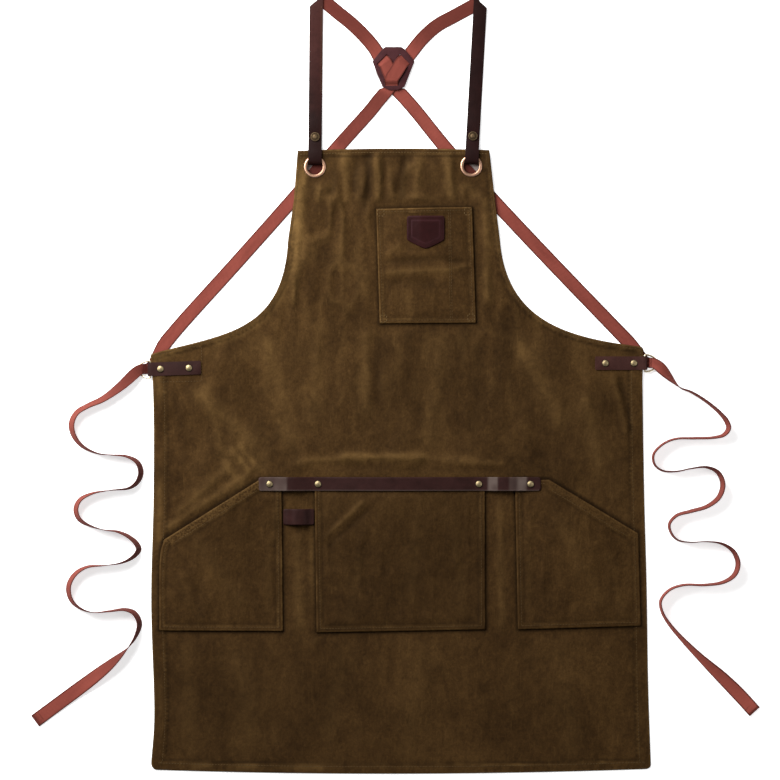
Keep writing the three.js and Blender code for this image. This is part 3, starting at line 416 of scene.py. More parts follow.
def canvas_finish(name, dark, middle, light, worn_and_lit):
    """Waxed duck canvas: plain weave, rubbed and mottled; pale where rubbed and where highlights are painted,
    dark in streaks and where shade is painted, in folds, beside pockets and in patches.
    """
    made, tree, shader = material(name)
    flat = placed(tree)
    broad = noise(flat, 6.0, 6.0, 0.62, 1.0)
    streaks = noise(placed(tree, (36, 18, 1), 5), 1.0, 6.0, 0.68, 1.3)
    patches = noise(flat, 90.0, 6.0, 0.72, 0.6)
    fine = noise(placed(tree, (1.1, 0.9, 1), -12), 260.0, 4.0, 0.7, 0.4)
    grain = noise(flat, 520.0, 3.0, 0.7)
    scratches = noise(placed(tree, (340, 38, 1), 24), 1.0, 3.0, 0.6, 0.4)
    lumps = noise(placed(tree, (1.6, 0.8, 1), 6), 70.0, 5.0, 0.62, 0.8)
    blend = maths("MULTIPLY", broad, 0.32)
    for layer, share in ((streaks, 0.24), (patches, 0.2), (fine, 0.24)):
        blend = maths("ADD", blend, maths("MULTIPLY", layer, share))
    ragged = maths("MULTIPLY", mark(tree, "wear_and_highlight"), remap(patches, 0.3, 0.7, 0.45, 1.3))
    roping = maths("MULTIPLY", mark(tree, "rope"), remap(noise(flat, 420.0, 2.0, 0.5), 0.42, 0.6))
    weave = maths("MULTIPLY", bands(flat, 0.0013), bands(flat, 0.0011, "Y"))
    colour = coated(dark, (remap(blend, 0.41, 0.5), middle), (remap(blend, 0.5, 0.61), light),
                    (remap(scratches, 0.6, 0.76, 0.0, 0.22), worn_and_lit),
                    (remap(grain, 0.4, 0.75, 0.0, 0.36), tint(dark, 0.6)),
                    (ragged, worn_and_lit), (roping, worn_and_lit), (mark(tree, "grime_and_shade"), tint(dark, 0.35)))
    wire(shader, Base_Color=colour, Roughness=remap(blend, 0.3, 0.7, 0.8, 0.62), Specular_IOR_Level=0.03,
         Normal=bumped((lumps, 0.5, 0.0018), (fine, 0.4, 0.0007), (weave, 0.5, 0.00025),
                       (roping, 0.6, 0.0006)))
    return made


def leather_finish(name, base, light, roughness, fade=None, worn_and_lit=(0.105, 0.078, 0.066, 1)):
    """Oiled leather: pores and fine creases, uneven dye, soft gloss, lighter where its points are marked, as
    painted sheen on the strip, and painted light growing towards +Y where a fade is given.
    """
    made, tree, shader = material(name)
    flat = placed(tree)
    tone = noise(flat, 45.0, 5.0, 0.6, 0.6)
    # Painted light: lighter towards +Y over the span that fade gives.
    if fade is not None:
        along = node(tree, "ShaderNodeSeparateXYZ", Vector=flat).outputs["Y"]
        tone = maths("ADD", maths("MULTIPLY", tone, 0.5), remap(along, *fade, 0.0, 0.5))
    pores = node(tree, "ShaderNodeTexVoronoi", Vector=flat, Scale=950.0).outputs["Distance"]
    creases = noise(flat, 260.0, 5.0, 0.65, 1.2)
    colour = coated(base, (remap(tone, 0.32, 0.7), light),
                    (remap(creases, 0.5, 0.8, 0.0, 0.5), tint(base, 0.5)), (mark(tree, "wear_and_highlight"), worn_and_lit))
    wire(shader, Base_Color=colour, Roughness=remap(creases, 0.3, 0.75, roughness - 0.06, roughness + 0.12),
         Specular_IOR_Level=0.06, Normal=bumped((pores, 0.25, 0.0002), (creases, 0.3, 0.0003)))
    return made


def webbing_finish(name, dark, light):
    """Cotton webbing: twill ribs across the tape, firmer edges, fading along its length; darker where its
    edges and painted shade are marked, lighter where painted light is marked.
    """
    made, tree, shader = material(name)
    twill = bands(placed(tree, turn=52, uv=True), 0.0017)
    cross = bands(placed(tree, uv=True), 0.0012, "Y")
    fade = noise(placed(tree, (22, 70, 1), uv=True), 1.0, 4.0, 0.6, 0.3)
    fibre = noise(placed(tree, (700, 1500, 1), uv=True), 1.0, 2.0, 0.6)
    rib = maths("MULTIPLY", twill, remap(cross, 0.0, 1.0, 0.6, 1.0))
    colour = coated(dark, (remap(fade, 0.3, 0.7), light), (remap(rib, 0.0, 0.6, 0.36, 0.0), tint(dark, 0.55)),
                    (remap(fibre, 0.4, 0.8, 0.0, 0.25), light), (mark(tree, "wear_and_highlight"), tint(light, 1.7)),
                    (mark(tree, "grime_and_shade"), tint(dark, 0.33)))
    wire(shader, Base_Color=colour, Roughness=remap(fibre, 0.3, 0.7, 0.78, 0.92), Specular_IOR_Level=0.05,
         Normal=bumped((rib, 0.7, 0.0003), (fibre, 0.25, 0.0002)))
    return made


def metal_finish(name, base, dark, roughness, tarnish):
    """Plated metal: hairline scratches, tarnish in patches, and darkening marked on its points: patina in
    hollows, painted shade round rivet rims and a painted reflection of the canvas on the eyelets.
    """
    made, tree, shader = material(name)
    spots = noise(placed(tree), 520.0, 4.0, 0.65, 0.4)
    lines = noise(placed(tree, (300, 4200, 300), 25), 1.0, 2.0)
    colour = coated(base, (remap(spots, 0.42, 0.75, 0.0, tarnish), dark),
                    (mark(tree, "grime_and_shade"), tint(dark, 0.12)))
    wire(shader, Base_Color=colour, Metallic=1.0, Normal=bumped((lines, 0.12, 0.0001)),
         Roughness=remap(spots, 0.3, 0.75, roughness - 0.05, roughness + 0.14))
    return made


def thread_finish(name, base):
    """Twisted sewing thread."""
    made, tree, shader = material(name)
    twist = noise(placed(tree), 1400.0, 2.0)
    wire(shader, Base_Color=coated(base, (twist, tint(base, 0.6))), Roughness=0.7, Specular_IOR_Level=0.1)
    return made


CANVAS = canvas_finish("waxed_canvas", (0.0240, 0.0117, 0.0036, 1), (0.0410, 0.0203, 0.0061, 1),
                       (0.0660, 0.0338, 0.0102, 1), (0.126, 0.0700, 0.0225, 1))
# The left strap carries painted light, lighter towards its top end.
LEFT_STRAP_LEATHER = leather_finish("left_strap_leather", (0.0088, 0.0023, 0.0017, 1),
                                    (0.0340, 0.0104, 0.0085, 1), 0.5, fade=(0.33, 0.50))
RIGHT_STRAP_LEATHER = leather_finish("right_strap_leather", (0.0068, 0.0018, 0.0015, 1),
                                     (0.0125, 0.0036, 0.0031, 1), 0.5)
STRIP_LEATHER = leather_finish("strip_leather", (0.0155, 0.0056, 0.0047, 1), (0.025, 0.0094, 0.0082, 1), 0.48)
# One tab leather in two copies: the left painted darker as painted shade, the right painted lighter as
# painted light.
LEFT_TAB_LEATHER = leather_finish("left_tab_leather", (0.0190, 0.0079, 0.0068, 1),
                                  (0.0300, 0.0127, 0.0113, 1), 0.46)
RIGHT_TAB_LEATHER = leather_finish("right_tab_leather", (0.0290, 0.0112, 0.0090, 1),
                                   (0.0470, 0.0187, 0.0152, 1), 0.46)
PATCH_LEATHER = leather_finish("patch_leather", (0.028, 0.0078, 0.0090, 1), (0.045, 0.0132, 0.0148, 1), 0.5)
LABEL_LEATHER = leather_finish("label_leather", (0.0130, 0.0028, 0.0028, 1), (0.0205, 0.0048, 0.0048, 1),
                               0.52, worn_and_lit=(0.085, 0.032, 0.038, 1))
WEBBING = webbing_finish("brick_webbing", (0.150, 0.0350, 0.0258, 1), (0.208, 0.0500, 0.0366, 1))
BRASS = metal_finish("brass", (0.36, 0.285, 0.155, 1), (0.13, 0.09, 0.05, 1), 0.46, 0.8)
ANTIQUE = metal_finish("antique_brass", (0.115, 0.078, 0.042, 1), (0.04, 0.024, 0.014, 1), 0.56, 0.8)
COPPER = metal_finish("copper", (0.62, 0.36, 0.24, 1), (0.28, 0.14, 0.08, 1), 0.42, 0.5)
PALE_BRASS = metal_finish("pale_brass", (0.62, 0.53, 0.37, 1), (0.28, 0.21, 0.12, 1), 0.3, 0.4)
THREAD = thread_finish("tan_thread", (0.125, 0.078, 0.030, 1))
DULL_THREAD = thread_finish("dull_thread", (0.084, 0.051, 0.0190, 1))
RED_THREAD = thread_finish("red_thread", (0.055, 0.016, 0.014, 1))


# Cloth sheets

EDGE_STEP = 2.2                        # longest step between points of a sheet's outline
EDGE_ROWS = (0.5, 1.1, 1.9, 3.0, 4.6)  # how far in from the outline rows of points follow it
TRACE_STEP = 3.0                       # step between points of a traced outline
EVEN_ROWS = 0.866                      # from row to row in a grid of even triangles with sides of 1


def finder(loop):
    """A tree that finds the point of a loop that is nearest to a place."""
    tree = kdtree.KDTree(len(loop))
    for k, (x, y) in enumerate(loop):
        tree.insert((x, y, 0), k)
    tree.balance()
    return tree


class Sheet:
    """A sheet cut to an edge given in runs: its surface, its edge distances and its mesh."""

    def __init__(self, name, stands_for, edges, spacing, dress, finish, slot, thick, holes=()):
        loop = np.vstack([spaced(run, min(EDGE_STEP, spacing))[:-1] for run in edges])
        inward = leftward(np.roll(loop, -1, axis=0) - np.roll(loop, 1, axis=0))
        self.loop = loop
        self.tree = finder(loop)
        rows = [loop]
        for depth in EDGE_ROWS:
            row = loop + inward * depth
            rows.append(row[self.edge(row)[0] > 0.93 * depth])
        low, high = loop.min(axis=0), loop.max(axis=0)
        xs = np.arange(low[0], high[0], spacing)
        ys = np.arange(low[1], high[1], spacing * EVEN_ROWS)
        grid = np.stack(np.meshgrid(xs, ys), axis=-1)
        grid[1::2, :, 0] += spacing / 2
        grid = grid.reshape(-1, 2)
        grid = grid[within(loop, grid)]
        rows.append(grid[self.edge(grid)[0] > EDGE_ROWS[-1] + spacing * 0.45])
        outline = list(range(len(loop)))
        done = delaunay_2d_cdt([Vector(p) for p in np.vstack(rows)], [], [outline], 1, 1e-5)
        xy = np.array([list(p) for p in done[0]])
        tris = np.array(done[2])
        for x, y, radius in holes:
            middle = xy[tris].mean(axis=1)
            tris = tris[np.hypot(middle[:, 0] - x, middle[:, 1] - y) > radius]
        z, marks = dress(xy, *self.edge(xy))
        top = np.column_stack([xy, z])
        self.top = BVHTree.FromPolygons(top.tolist(), tris.tolist())
        count = len(xy)
        points = np.vstack([top, top - (0, 0, thick)])
        walls = [(i, i + count, j + count, j) for i, j in open_edges(tris).items()]
        faces = [*tris.tolist(), *(tris[:, ::-1] + count).tolist(), *walls]
        marks = {key: np.tile(values, 2) for key, values in marks.items()}
        self.piece = make(name, points * MM, faces, finish, marks=marks)
        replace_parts(self.piece, *stands_for)

    def edge(self, xy):
        """Each point's distance from the outline, and the outline's nearest point."""
        near = np.array([self.tree.find((x, y, 0))[1] for x, y in xy])
        count = len(self.loop)
        before, after = (from_line(xy, self.loop[(near + step) % count], self.loop[(near + step + 1) % count])
                         for step in (-1, 0))
        return np.minimum(before, after), self.loop[near]

    def height(self, xy):
        """The finished surface's height at points, in millimetres."""
        return np.array([height_under(self.top, x, y) for x, y in xy])


def within(loop, xy):
    """Which points lie inside a closed loop."""
    inside = np.zeros(len(xy), bool)
    x, y = xy.T
    for (x0, y0), (x1, y1) in zip(loop, np.roll(loop, -1, axis=0)):
        if y0 != y1:
            crosses = (y0 > y) != (y1 > y)
            inside ^= crosses & (x < x0 + (y - y0) * (x1 - x0) / (y1 - y0))
    return inside


SEAM_IN = 2.2                  # from the inner edge of a hem to its row of stitches


def rounding(edge, reach):
    """How far an edge has rounded over, from 1 at the edge to 0 at the reach."""
    return np.clip(1 - edge / reach, 0, 1) ** 2


def hem(edge, width, xy, seed):
    """A turned and stitched hem by distance from the edge: its rise, its rubbed pale edges and the dark
    beside it.
    """
    fold = 1 - smoothstep(width - 0.9, width + 0.9, edge)
    row = edge - width + SEAM_IN
    rope = ripple(xy, 5.5, 5.5, seed)
    pucker = 0.2 * rope * bell(row, 0, 4.5)
    rise = fold - rounding(edge, 1.7) - 0.45 * bell(row, 0, 1.2) + pucker
    slow = 0.65 + 0.6 * ripple(xy, 40, 40, seed + 5)
    worn_and_lit = (0.5 + 0.3 * rope) * slow * bell(edge, 1.0, 1.0)
    worn_and_lit = worn_and_lit + (0.28 + 0.3 * rope) * slow * bell(edge, width - 0.6, 1.3)
    return rise, np.clip(worn_and_lit, 0, 1), 0.5 * bell(edge, width + 1.8, 1.8)


def creased(xy, table):
    """Ridges and dents along lines of the picture: two pixels, half width and height in millimetres."""
    total = np.zeros(len(xy))
    for px0, py0, px1, py1, width, height in table:
        wander = 2.5 * ripple(xy, 26, 26, int(px0 * 7 + py0))
        distance = from_line(xy, at(px0, py0), at(px1, py1)) + wander
        total += height * np.exp(-np.abs(distance / width) ** 1.6)
    return total


def patched(xy, table):
    """Soft patches of the picture, summed: pixel, half width, half height and strength of each."""
    total = np.zeros(len(xy))
    for px, py, half_x, half_y, strength in table:
        x, y = (xy - at(px, py)).T / PHOTO_SCALE
        total += strength * np.exp(-(x / half_x) ** 2 - (y / half_y) ** 2)
    return total


def clear_of(xy, boxes, fade=14):
    """1 where the cloth is free, falling to 0 under the pieces that hold it flat."""
    free = np.ones(len(xy))
    for x0, y0, x1, y1 in boxes:
        dx = np.maximum(np.maximum(x0 - xy[:, 0], xy[:, 0] - x1), 0)
        dy = np.maximum(np.maximum(y0 - xy[:, 1], xy[:, 1] - y1), 0)
        free *= smoothstep(0, fade, np.hypot(dx, dy))
    return free


def footprint(source, grow=3.0):
    low, high = box_mm(source)
    return low[0] - grow, low[1] - grow, high[0] + grow, high[1] + grow


# Creases that the picture shows: two pixels, half width and height in millimetres
PANEL_CREASES = [
    (377, 158, 377, 204, 3.5, 2.2), (369, 158, 367, 206, 5, -1.4), (323, 158, 318, 200, 4, 1.7),
    (334, 160, 332, 192, 4, -1.2), (345, 158, 347, 200, 4, 1.6), (357, 160, 355, 190, 4, -1.1),
    (301, 172, 294, 300, 4.5, 1.6), (420, 160, 415, 198, 5, 1.5), (404, 160, 402, 196, 5, -1.0),
    (448, 158, 452, 198, 5, 1.2), (462, 178, 484, 205, 5, 1.0), (484, 215, 489, 300, 6, 1.1),
    (232, 452, 250, 470, 4, 2.6), (240, 446, 262, 474, 4, 2.4), (226, 464, 242, 488, 4, 2.0),
    (246, 452, 256, 488, 3.5, -1.4), (168, 527, 250, 474, 5, 2.0), (178, 512, 226, 470, 6, 1.5),
    (345, 457, 420, 457, 4.5, 3.0), (300, 462, 345, 458, 5, 1.6), (420, 458, 500, 464, 5, 1.4),
    (345, 470, 500, 472, 5, -1.2), (619, 374, 632, 431, 3, -2.0), (613, 374, 626, 431, 4, 1.3),
    (314, 492, 315, 640, 4, 1.8), (297, 540, 300, 625, 6, 1.0), (377, 340, 378, 400, 6, -1.4),
    (366, 336, 366, 410, 8, 1.2), (520, 345, 560, 420, 12, 1.4), (200, 395, 250, 440, 10, 1.5),
    (205, 385, 225, 460, 7, 1.2), (270, 345, 290, 440, 12, 1.2), (320, 330, 312, 420, 9, 1.1),
    (440, 345, 430, 440, 12, 1.0), (480, 350, 474, 430, 9, -0.9), (586, 400, 600, 470, 8, 1.4),
    (500, 500, 502, 625, 5, 1.0), (240, 660, 250, 740, 14, 0.6), (420, 650, 410, 750, 16, 0.6),
    (560, 650, 572, 745, 14, 0.6), (340, 655, 330, 735, 12, 0.5), (186, 640, 190, 750, 10, 0.6),
]

# Painted shade and painted highlights, in soft patches: pixel, half width and half height in pixels, strength
PAINTED_SHADE_PATCHES = [(395, 178, 110, 26, 0.17), (405, 405, 85, 70, 0.15), (585, 430, 80, 75, 0.21),
            (230, 705, 110, 75, 0.30), (460, 710, 220, 70, 0.08)]
PAINTED_HIGHLIGHTS = [(303, 174, 4, 14, 0.75), (300, 190, 4, 12, 0.6), (299, 222, 6, 34, 0.65),
            (250, 458, 22, 20, 0.22), (381, 458, 40, 5, 0.2), (300, 600, 8, 50, 0.12), (312, 560, 3, 40, 0.3)]


def panel_hem(near):
    """The hem's width at points of the outline: wide down the sides, narrow round the armholes."""
    x, y = near.T
    width = np.where(y > 300, 7.5, 6.0)
    side = smoothstep(34, 16, y) * (np.abs(x) > 325)
    width = width + side * (17.5 - width)
    return np.where(y < -528, 12.0, width)


PANEL_NODES = ["body_panel", "left_wing", "right_wing"]

# Pockets: size and area laid flat in metres, mouth and creases in pixels, how much darker, how pale the
# rubbed edges are
POCKETS = {
    "chest_pocket": {
        "flat": (0.139, 0.162), "area": 0.0213, "seed": 21, "hem": 6.5, "mouth": None, "darker_by": 0.0, "rub": 1.0,
        "creases": [(388, 262, 446, 258, 4, -1.0), (386, 273, 446, 270, 5, 1.4),
                    (450, 261, 468, 262, 3, -1.2), (450, 270, 466, 266, 4, 1.3),
                    (388, 254, 400, 246, 4, 0.8), (384, 284, 430, 282, 6, -0.8),
                    (405, 290, 412, 318, 8, 0.7)],
    },
    "left_pocket": {
        "flat": (0.172, 0.211), "area": 0.0295, "seed": 31, "hem": 7.5,
        "mouth": (164.2, 539.5, 259.6, 480.5), "darker_by": 0.15, "rub": 1.1,
        "creases": [(196, 545, 240, 600, 9, 0.6), (276, 492, 275, 540, 3, 1.2), (270, 540, 268, 610, 5, 0.6),
                    (180, 580, 200, 620, 7, 0.4)],
    },
    "centre_pocket": {
        "flat": (0.237, 0.211), "area": 0.0491, "seed": 41, "hem": 7.5, "mouth": None, "darker_by": 0.26,
        "rub": 0.75,
        "creases": [(324, 538, 362, 503, 3.5, 1.5), (330, 545, 368, 510, 4, -0.9),
                    (420, 500, 410, 600, 8, 0.5), (455, 520, 462, 610, 6, 0.5), (360, 560, 350, 620, 7, 0.5)],
    },
    "right_pocket": {
        "flat": (0.175, 0.208), "area": 0.0303, "seed": 51, "hem": 7.5,
        "mouth": (548.9, 481, 638.4, 534), "darker_by": 0.05, "rub": 0.45,
        "creases": [(560, 520, 600, 600, 9, 0.6), (530, 520, 528, 610, 5, 0.5), (610, 560, 624, 615, 7, 0.4)],
    },
}
HELD_FLAT = ["left_eyelet", "right_eyelet", "left_tab", "right_tab", "pocket_strip", "tool_loop", *POCKETS]


def beside_pockets(xy):
    """How deep in the painted shadow round a pocket, and above a slanted mouth, each point of the panel lies.
    """
    dark = np.zeros(len(xy))
    for name, spec in POCKETS.items():
        loop = np.vstack([spaced(run, TRACE_STEP)[:-1] for run in runs(rim(name))])
        tree = finder(loop)
        x0, y0, x1, y1 = footprint(name, 12)
        close = np.flatnonzero((xy[:, 0] > x0) & (xy[:, 0] < x1) & (xy[:, 1] > y0) & (xy[:, 1] < y1))
        found = [tree.find((*xy[k], 0)) for k in close]
        distance = np.array([f[2] for f in found])
        to_right, above = (xy[close] - loop[[f[1] for f in found]]).T
        shadow = 0.85 * bell(distance, 0, np.where(to_right > 0, 3.4, 2.8))
        if spec["mouth"]:
            shadow = np.where(above > 0.5 * distance, 0.85 * np.exp(-(distance / 4.6) ** 4), shadow)
        dark[close] = np.maximum(dark[close], shadow)
    return dark


def held_box(name):
    """The part of the panel that a piece holds flat. A slanted pocket holds it below its mouth."""
    x0, y0, x1, y1 = footprint(name)
    if name in POCKETS and POCKETS[name]["mouth"]:
        y1 = at(0, max(POCKETS[name]["mouth"][1::2]))[1] - 6
    return x0, y0, x1, y1


def dress_panel(xy, edge, near):
    """The panel's surface over its nodes': hems, folds and creases, with rubbed, pale and dark mottling,
    painted highlights and painted shade.
    """
    x, y = xy.T
    base = Relief(PANEL_NODES)(xy)
    free = clear_of(xy, [held_box(n) for n in HELD_FLAT])
    rise, worn_and_lit, dark = hem(edge, panel_hem(near), xy, 11)
    off_hem = smoothstep(4, 26, edge)
    upper = smoothstep(40, 260, y)
    lower = smoothstep(-300, -420, y)
    swell = 0.9 * ripple(xy, 80, 120, 1) + 0.7 * ripple(xy, 34, 60, 2)
    soft = (0.7 + 1.5 * upper - 0.4 * lower) * ripple(bent(xy, 9, 30, 8), 15, 42, 9)
    crumple = (2.6 * upper + 0.7 - 0.4 * lower) * (1 - np.abs(ripple(xy, 17, 46, 3))) ** 3
    creases = creased(xy, PANEL_CREASES) * (1 + 0.8 * upper)
    z = base + rise + free * (off_hem * (swell + soft + crumple) + creases)
    # Painted highlight along the hems on the left, where the light falls.
    hem_highlight = smoothstep(-0.3, 0.4, ripple(xy, 30, 60, 14)) * bell(edge, 8, 4.5) * (x < -100)
    streaks = ripple(bent(xy, 6, 20, 16), 13, 48, 17)
    waxed = free * (0.3 + 0.7 * smoothstep(-120, 60, y))
    pale = patched(xy, PAINTED_HIGHLIGHTS)
    # Paler on the crests of creases and crumples, as rubbed cloth and painted highlight; paler still under
    # the painted highlights along the left hems and in patches, and in pale streaks.
    worn_and_lit = worn_and_lit + free * (0.2 * np.clip(creases, 0, 2) + 0.2 * off_hem * np.clip(crumple - 0.45, 0, 1))
    worn_and_lit = worn_and_lit + (0.45 + 0.3 * upper) * hem_highlight + 0.14 * waxed * smoothstep(0.15, 0.8, streaks) + pale
    # Darker beside the hems except under painted highlights; painted shadow round the pockets, painted shade
    # in the dents and in broad patches, and dark streaks.
    dark = dark * np.clip(1 - 1.3 * pale, 0, 1) + beside_pockets(xy) + free * 0.25 * np.clip(-creases, 0, 1.5)
    dark = dark + 0.16 * waxed * smoothstep(0.1, 0.8, -streaks) + patched(xy, PAINTED_SHADE_PATCHES)
    lowest = CANVAS_THICK + 0.1
    z = 0.5 * (z + lowest + np.hypot(z - lowest, 0.2))
    return z, {"wear_and_highlight": np.clip(worn_and_lit, 0, 0.9), "grime_and_shade": np.clip(dark, 0, 0.9)}


MOUTH_HEM = 13.0               # width of the hem along a slanted mouth


def on_mouth(near, spec):
    """Which points of a pocket's outline lie on its slanted mouth."""
    if spec["mouth"] is None:
        return np.zeros(len(near), bool)
    return from_line(near, at(*spec["mouth"][:2]), at(*spec["mouth"][2:])) < 2.5


def dress_pocket(source, spec):
    """How a pocket's surface is made over its node's: hems, soft dents and a roped hem at a slanted mouth."""
    seed = spec["seed"]

    def dress(xy, edge, near):
        base = Relief([source], soften=4)(xy)
        mouth = on_mouth(near, spec)
        rise, worn_and_lit, dark = hem(edge, np.where(mouth, MOUTH_HEM, spec["hem"]), xy, seed)
        off_hem = smoothstep(2, 18, edge)
        swell = 0.6 * (1 + ripple(xy, 45, 70, seed + 1))
        crumple = 0.7 * (1 - np.abs(ripple(xy, 15, 40, seed + 2))) ** 3
        soft = 0.5 * ripple(bent(xy, 8, 26, seed + 4), 13, 30, seed + 6)
        dents = creased(xy, spec["creases"])
        free = clear_of(xy, [footprint(n, 1.0) for n in ("label_patch", "pocket_strip")], 9)
        z = base + rise + free * (off_hem * (swell + crumple + soft) + smoothstep(0, 6, edge) * dents)
        rope = 0.36 * spec["rub"] * smoothstep(MOUTH_HEM, MOUTH_HEM - 3, edge) * mouth
        # Paler on the crests of dents, as rubbed cloth and painted highlight; painted shade in the dents, and
        # each pocket darker by its own amount.
        worn_and_lit = 1.2 * spec["rub"] * worn_and_lit + 0.22 * off_hem * np.clip(dents, 0, 1.5)
        dark = 0.55 * dark + 0.35 * off_hem * np.clip(-dents, 0, 1.5) + spec["darker_by"]
        return z, {"wear_and_highlight": np.clip(worn_and_lit, 0, 0.9), "grime_and_shade": np.clip(dark, 0, 0.9), "rope": rope}
    return dress


def eyelet_holes():
    for side in SIDES:
        x, y, _ = sum(box_mm(f"{side}_eyelet")) / 2
        yield x, y, EYELET_BORE


panel = Sheet("canvas_panel", PANEL_NODES, panel_runs(), 3.7, dress_panel, CANVAS, "canvas", CANVAS_THICK,
              tuple(eyelet_holes()))
pockets = {}
for source, spec in POCKETS.items():
    cloth = Sheet(f"{source}_cloth", [source], runs(rim(source)), 2.4, dress_pocket(source, spec), CANVAS,
                  "canvas", CANVAS_THICK)
    pockets[source] = cloth


# Stitching

def capsule():
    """A short rounded bar along X, one unit long and one across: its points and faces."""
    sides = 6
    stations = [(-0.5, 0.25), (-0.38, 0.8), (0.0, 1.0), (0.38, 0.8), (0.5, 0.25)]
    angles = [2 * math.pi * k / sides for k in range(sides)]
    points = [(x, 0.5 * radius * math.cos(angle), 0.5 * radius * math.sin(angle))
              for x, radius in stations for angle in angles]
    return np.array(points), skin(len(stations), sides)


def sew(name, rows, height, finish, across, pitch=4.0, length=2.9):
    """Lines of stitches over a surface: each row is a line of points in x and y, in millimetres."""
    shape, plan = capsule()
    rng = np.random.default_rng(len(rows) * 1000 + len(name))
    points, faces = [], []
    for row in rows:
        line = spaced(row, pitch)
        for a, b in zip(line[:-1], line[1:]):
            middle = (a + b) / 2
            along = (b - a) / np.linalg.norm(b - a)
            z = height(np.array([middle - along, middle, middle + along]))
            if np.isnan(z).any():
                continue
            lean = rng.uniform(-0.06, 0.06)
            along = np.array([along[0] - along[1] * lean, along[1] + along[0] * lean, (z[2] - z[0]) / 2])
            side = np.array([-along[1], along[0], 0])
            start = len(points) * len(shape)
            size = length * rng.uniform(0.9, 1.06)
            points.append(np.array([*middle, z[1] + 0.08]) + shape[:, :1] * size * along
                          + shape[:, 1:2] * across * side + shape[:, 2:] * across * np.array([0, 0, 1]))
            faces += [tuple(i + start for i in face) for face in plan]
    return make(name, np.vstack(points) * MM, faces, finish)


def inset(line, depth):
    """A line moved to its left by a depth."""
    return line + depth * leftward(np.gradient(line, axis=0))


def trimmed(line, cut):
    """A line without some length at each end."""
    dense = spaced(line, 0.5)
    return dense[int(cut * 2):len(dense) - int(cut * 2)]


def seam(*pixels):
    """Straight rows from pixel to pixel of the picture."""
    corners = [at(*pixel) for pixel in pixels]
    return list(zip(corners, corners[1:]))


# Pixels of the box sewn round the left tab
TAB_BOX = [(160, 347.5), (201.5, 347), (202, 381), (160.5, 382), (160, 347.5)]

traced = [spaced(run, TRACE_STEP) for run in panel_runs()]
*panel_rows, bib_top = [inset(line, (panel_hem(line) - SEAM_IN)[:, None])[1:-1] for line in traced]
panel_rows += seam(*TAB_BOX)
sew("panel_stitches", panel_rows, panel.height, DULL_THREAD, 0.7)
sew("bib_top_stitches", [bib_top], panel.height, THREAD, 0.7)

SHORT_EDGE = 24.0              # an edge of a pocket shorter than this has no row of its own
TACK_WIDTH = 6.5               # a corner tack's size in pixels
TACK_HEIGHT = 6.8
# First and last pixel of the two rows beside the pen slot
PEN_SLOT = [((448.4, 209.5), (450.4, 321.5)), ((450.3, 209.5), (452.3, 321.5))]
# Corner tacks of the chest pocket: pixel of the outer top corner, and which way the tack runs
CORNER_TACKS = [(377.6, 209.4, 1), (471.0, 208.2, -1), (380.2, 315.2, 1), (474.4, 314.2, -1)]
for source, cloth in pockets.items():
    rows = []
    for run in runs(rim(source)):
        if np.linalg.norm(run[-1] - run[0]) < SHORT_EDGE:
            continue
        mouth = on_mouth(run.mean(axis=0)[None], POCKETS[source])[0]
        depth = (MOUTH_HEM if mouth else POCKETS[source]["hem"]) - SEAM_IN
        rows.append(inset(trimmed(run, depth), depth))
    if source == "chest_pocket":
        for ends in PEN_SLOT:
            rows += seam(*ends)
    sew(f"{source}_stitches", rows, cloth.height, DULL_THREAD, 0.6)
corner_rows = []
for px, top, way in CORNER_TACKS:
    inner, bottom = px + way * TACK_WIDTH, top + TACK_HEIGHT
    corner_rows += seam((px, top), (inner, top), (inner, bottom), (px, bottom), (px, top))
sew("chest_pocket_corner_stitches", corner_rows, pockets["chest_pocket"].height, THREAD, 1.0)


# Leather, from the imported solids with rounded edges

def upright(edge):
    """Whether an edge is a short corner that stands on end, as at the end of a strap."""
    run = edge.verts[1].co - edge.verts[0].co
    stands = abs(run.z) > 0.85 * run.length and run.length < 3 * MM
    return stands and len(edge.link_faces) == 2 and edge.calc_face_angle() > math.radians(60)


def bevel(body, edges, radius, segments, profile):
    bmesh.ops.bevel(body, geom=edges, offset=radius * MM, offset_type="OFFSET", segments=segments,
                    profile=profile, affect="EDGES", clamp_overlap=True)


EDGE_ROUND = 0.45              # radius of a leather edge
TAB_CORNER = 3.6               # radius of a tab's corners


def dressed(source, finish, round_corner=0.0):
    """A node's solid with its sharp edges rounded, standing for the node."""
    points, tris = welded(source)
    body = bmesh.new()
    verts = [body.verts.new(p * MM) for p in points]
    for tri in tris:
        body.faces.new([verts[i] for i in tri])
    bmesh.ops.dissolve_limit(body, angle_limit=math.radians(0.4), verts=body.verts, edges=body.edges)
    if round_corner:
        bevel(body, [e for e in body.edges if upright(e)], round_corner, 5, 0.5)
    sharp = [e for e in body.edges if len(e.link_faces) == 2 and e.calc_face_angle() > math.radians(40)]
    bevel(body, sharp, EDGE_ROUND, 3, 0.6)
    bmesh.ops.triangulate(body, faces=[f for f in body.faces if len(f.verts) > 4])
    name = f"{source}_leather"
    mesh = bpy.data.meshes.new(name)
    body.to_mesh(mesh)
    body.free()
    piece = ridden(name, mesh, finish)
    mesh.set_sharp_from_angle(angle=math.radians(38))
    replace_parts(piece, source)


dressed("left_shoulder_strap", LEFT_STRAP_LEATHER)
dressed("right_shoulder_strap", RIGHT_STRAP_LEATHER)
dressed("left_tab", LEFT_TAB_LEATHER, TAB_CORNER)
dressed("right_tab", RIGHT_TAB_LEATHER, TAB_CORNER)
dressed("cross_patch", PATCH_LEATHER)
sew("left_strap_stitches", seam((321.3, 6), (321.1, 92)), Relief(["left_shoulder_strap"], 2.0, 1), THREAD,
    0.6, 3.2, 1.6)


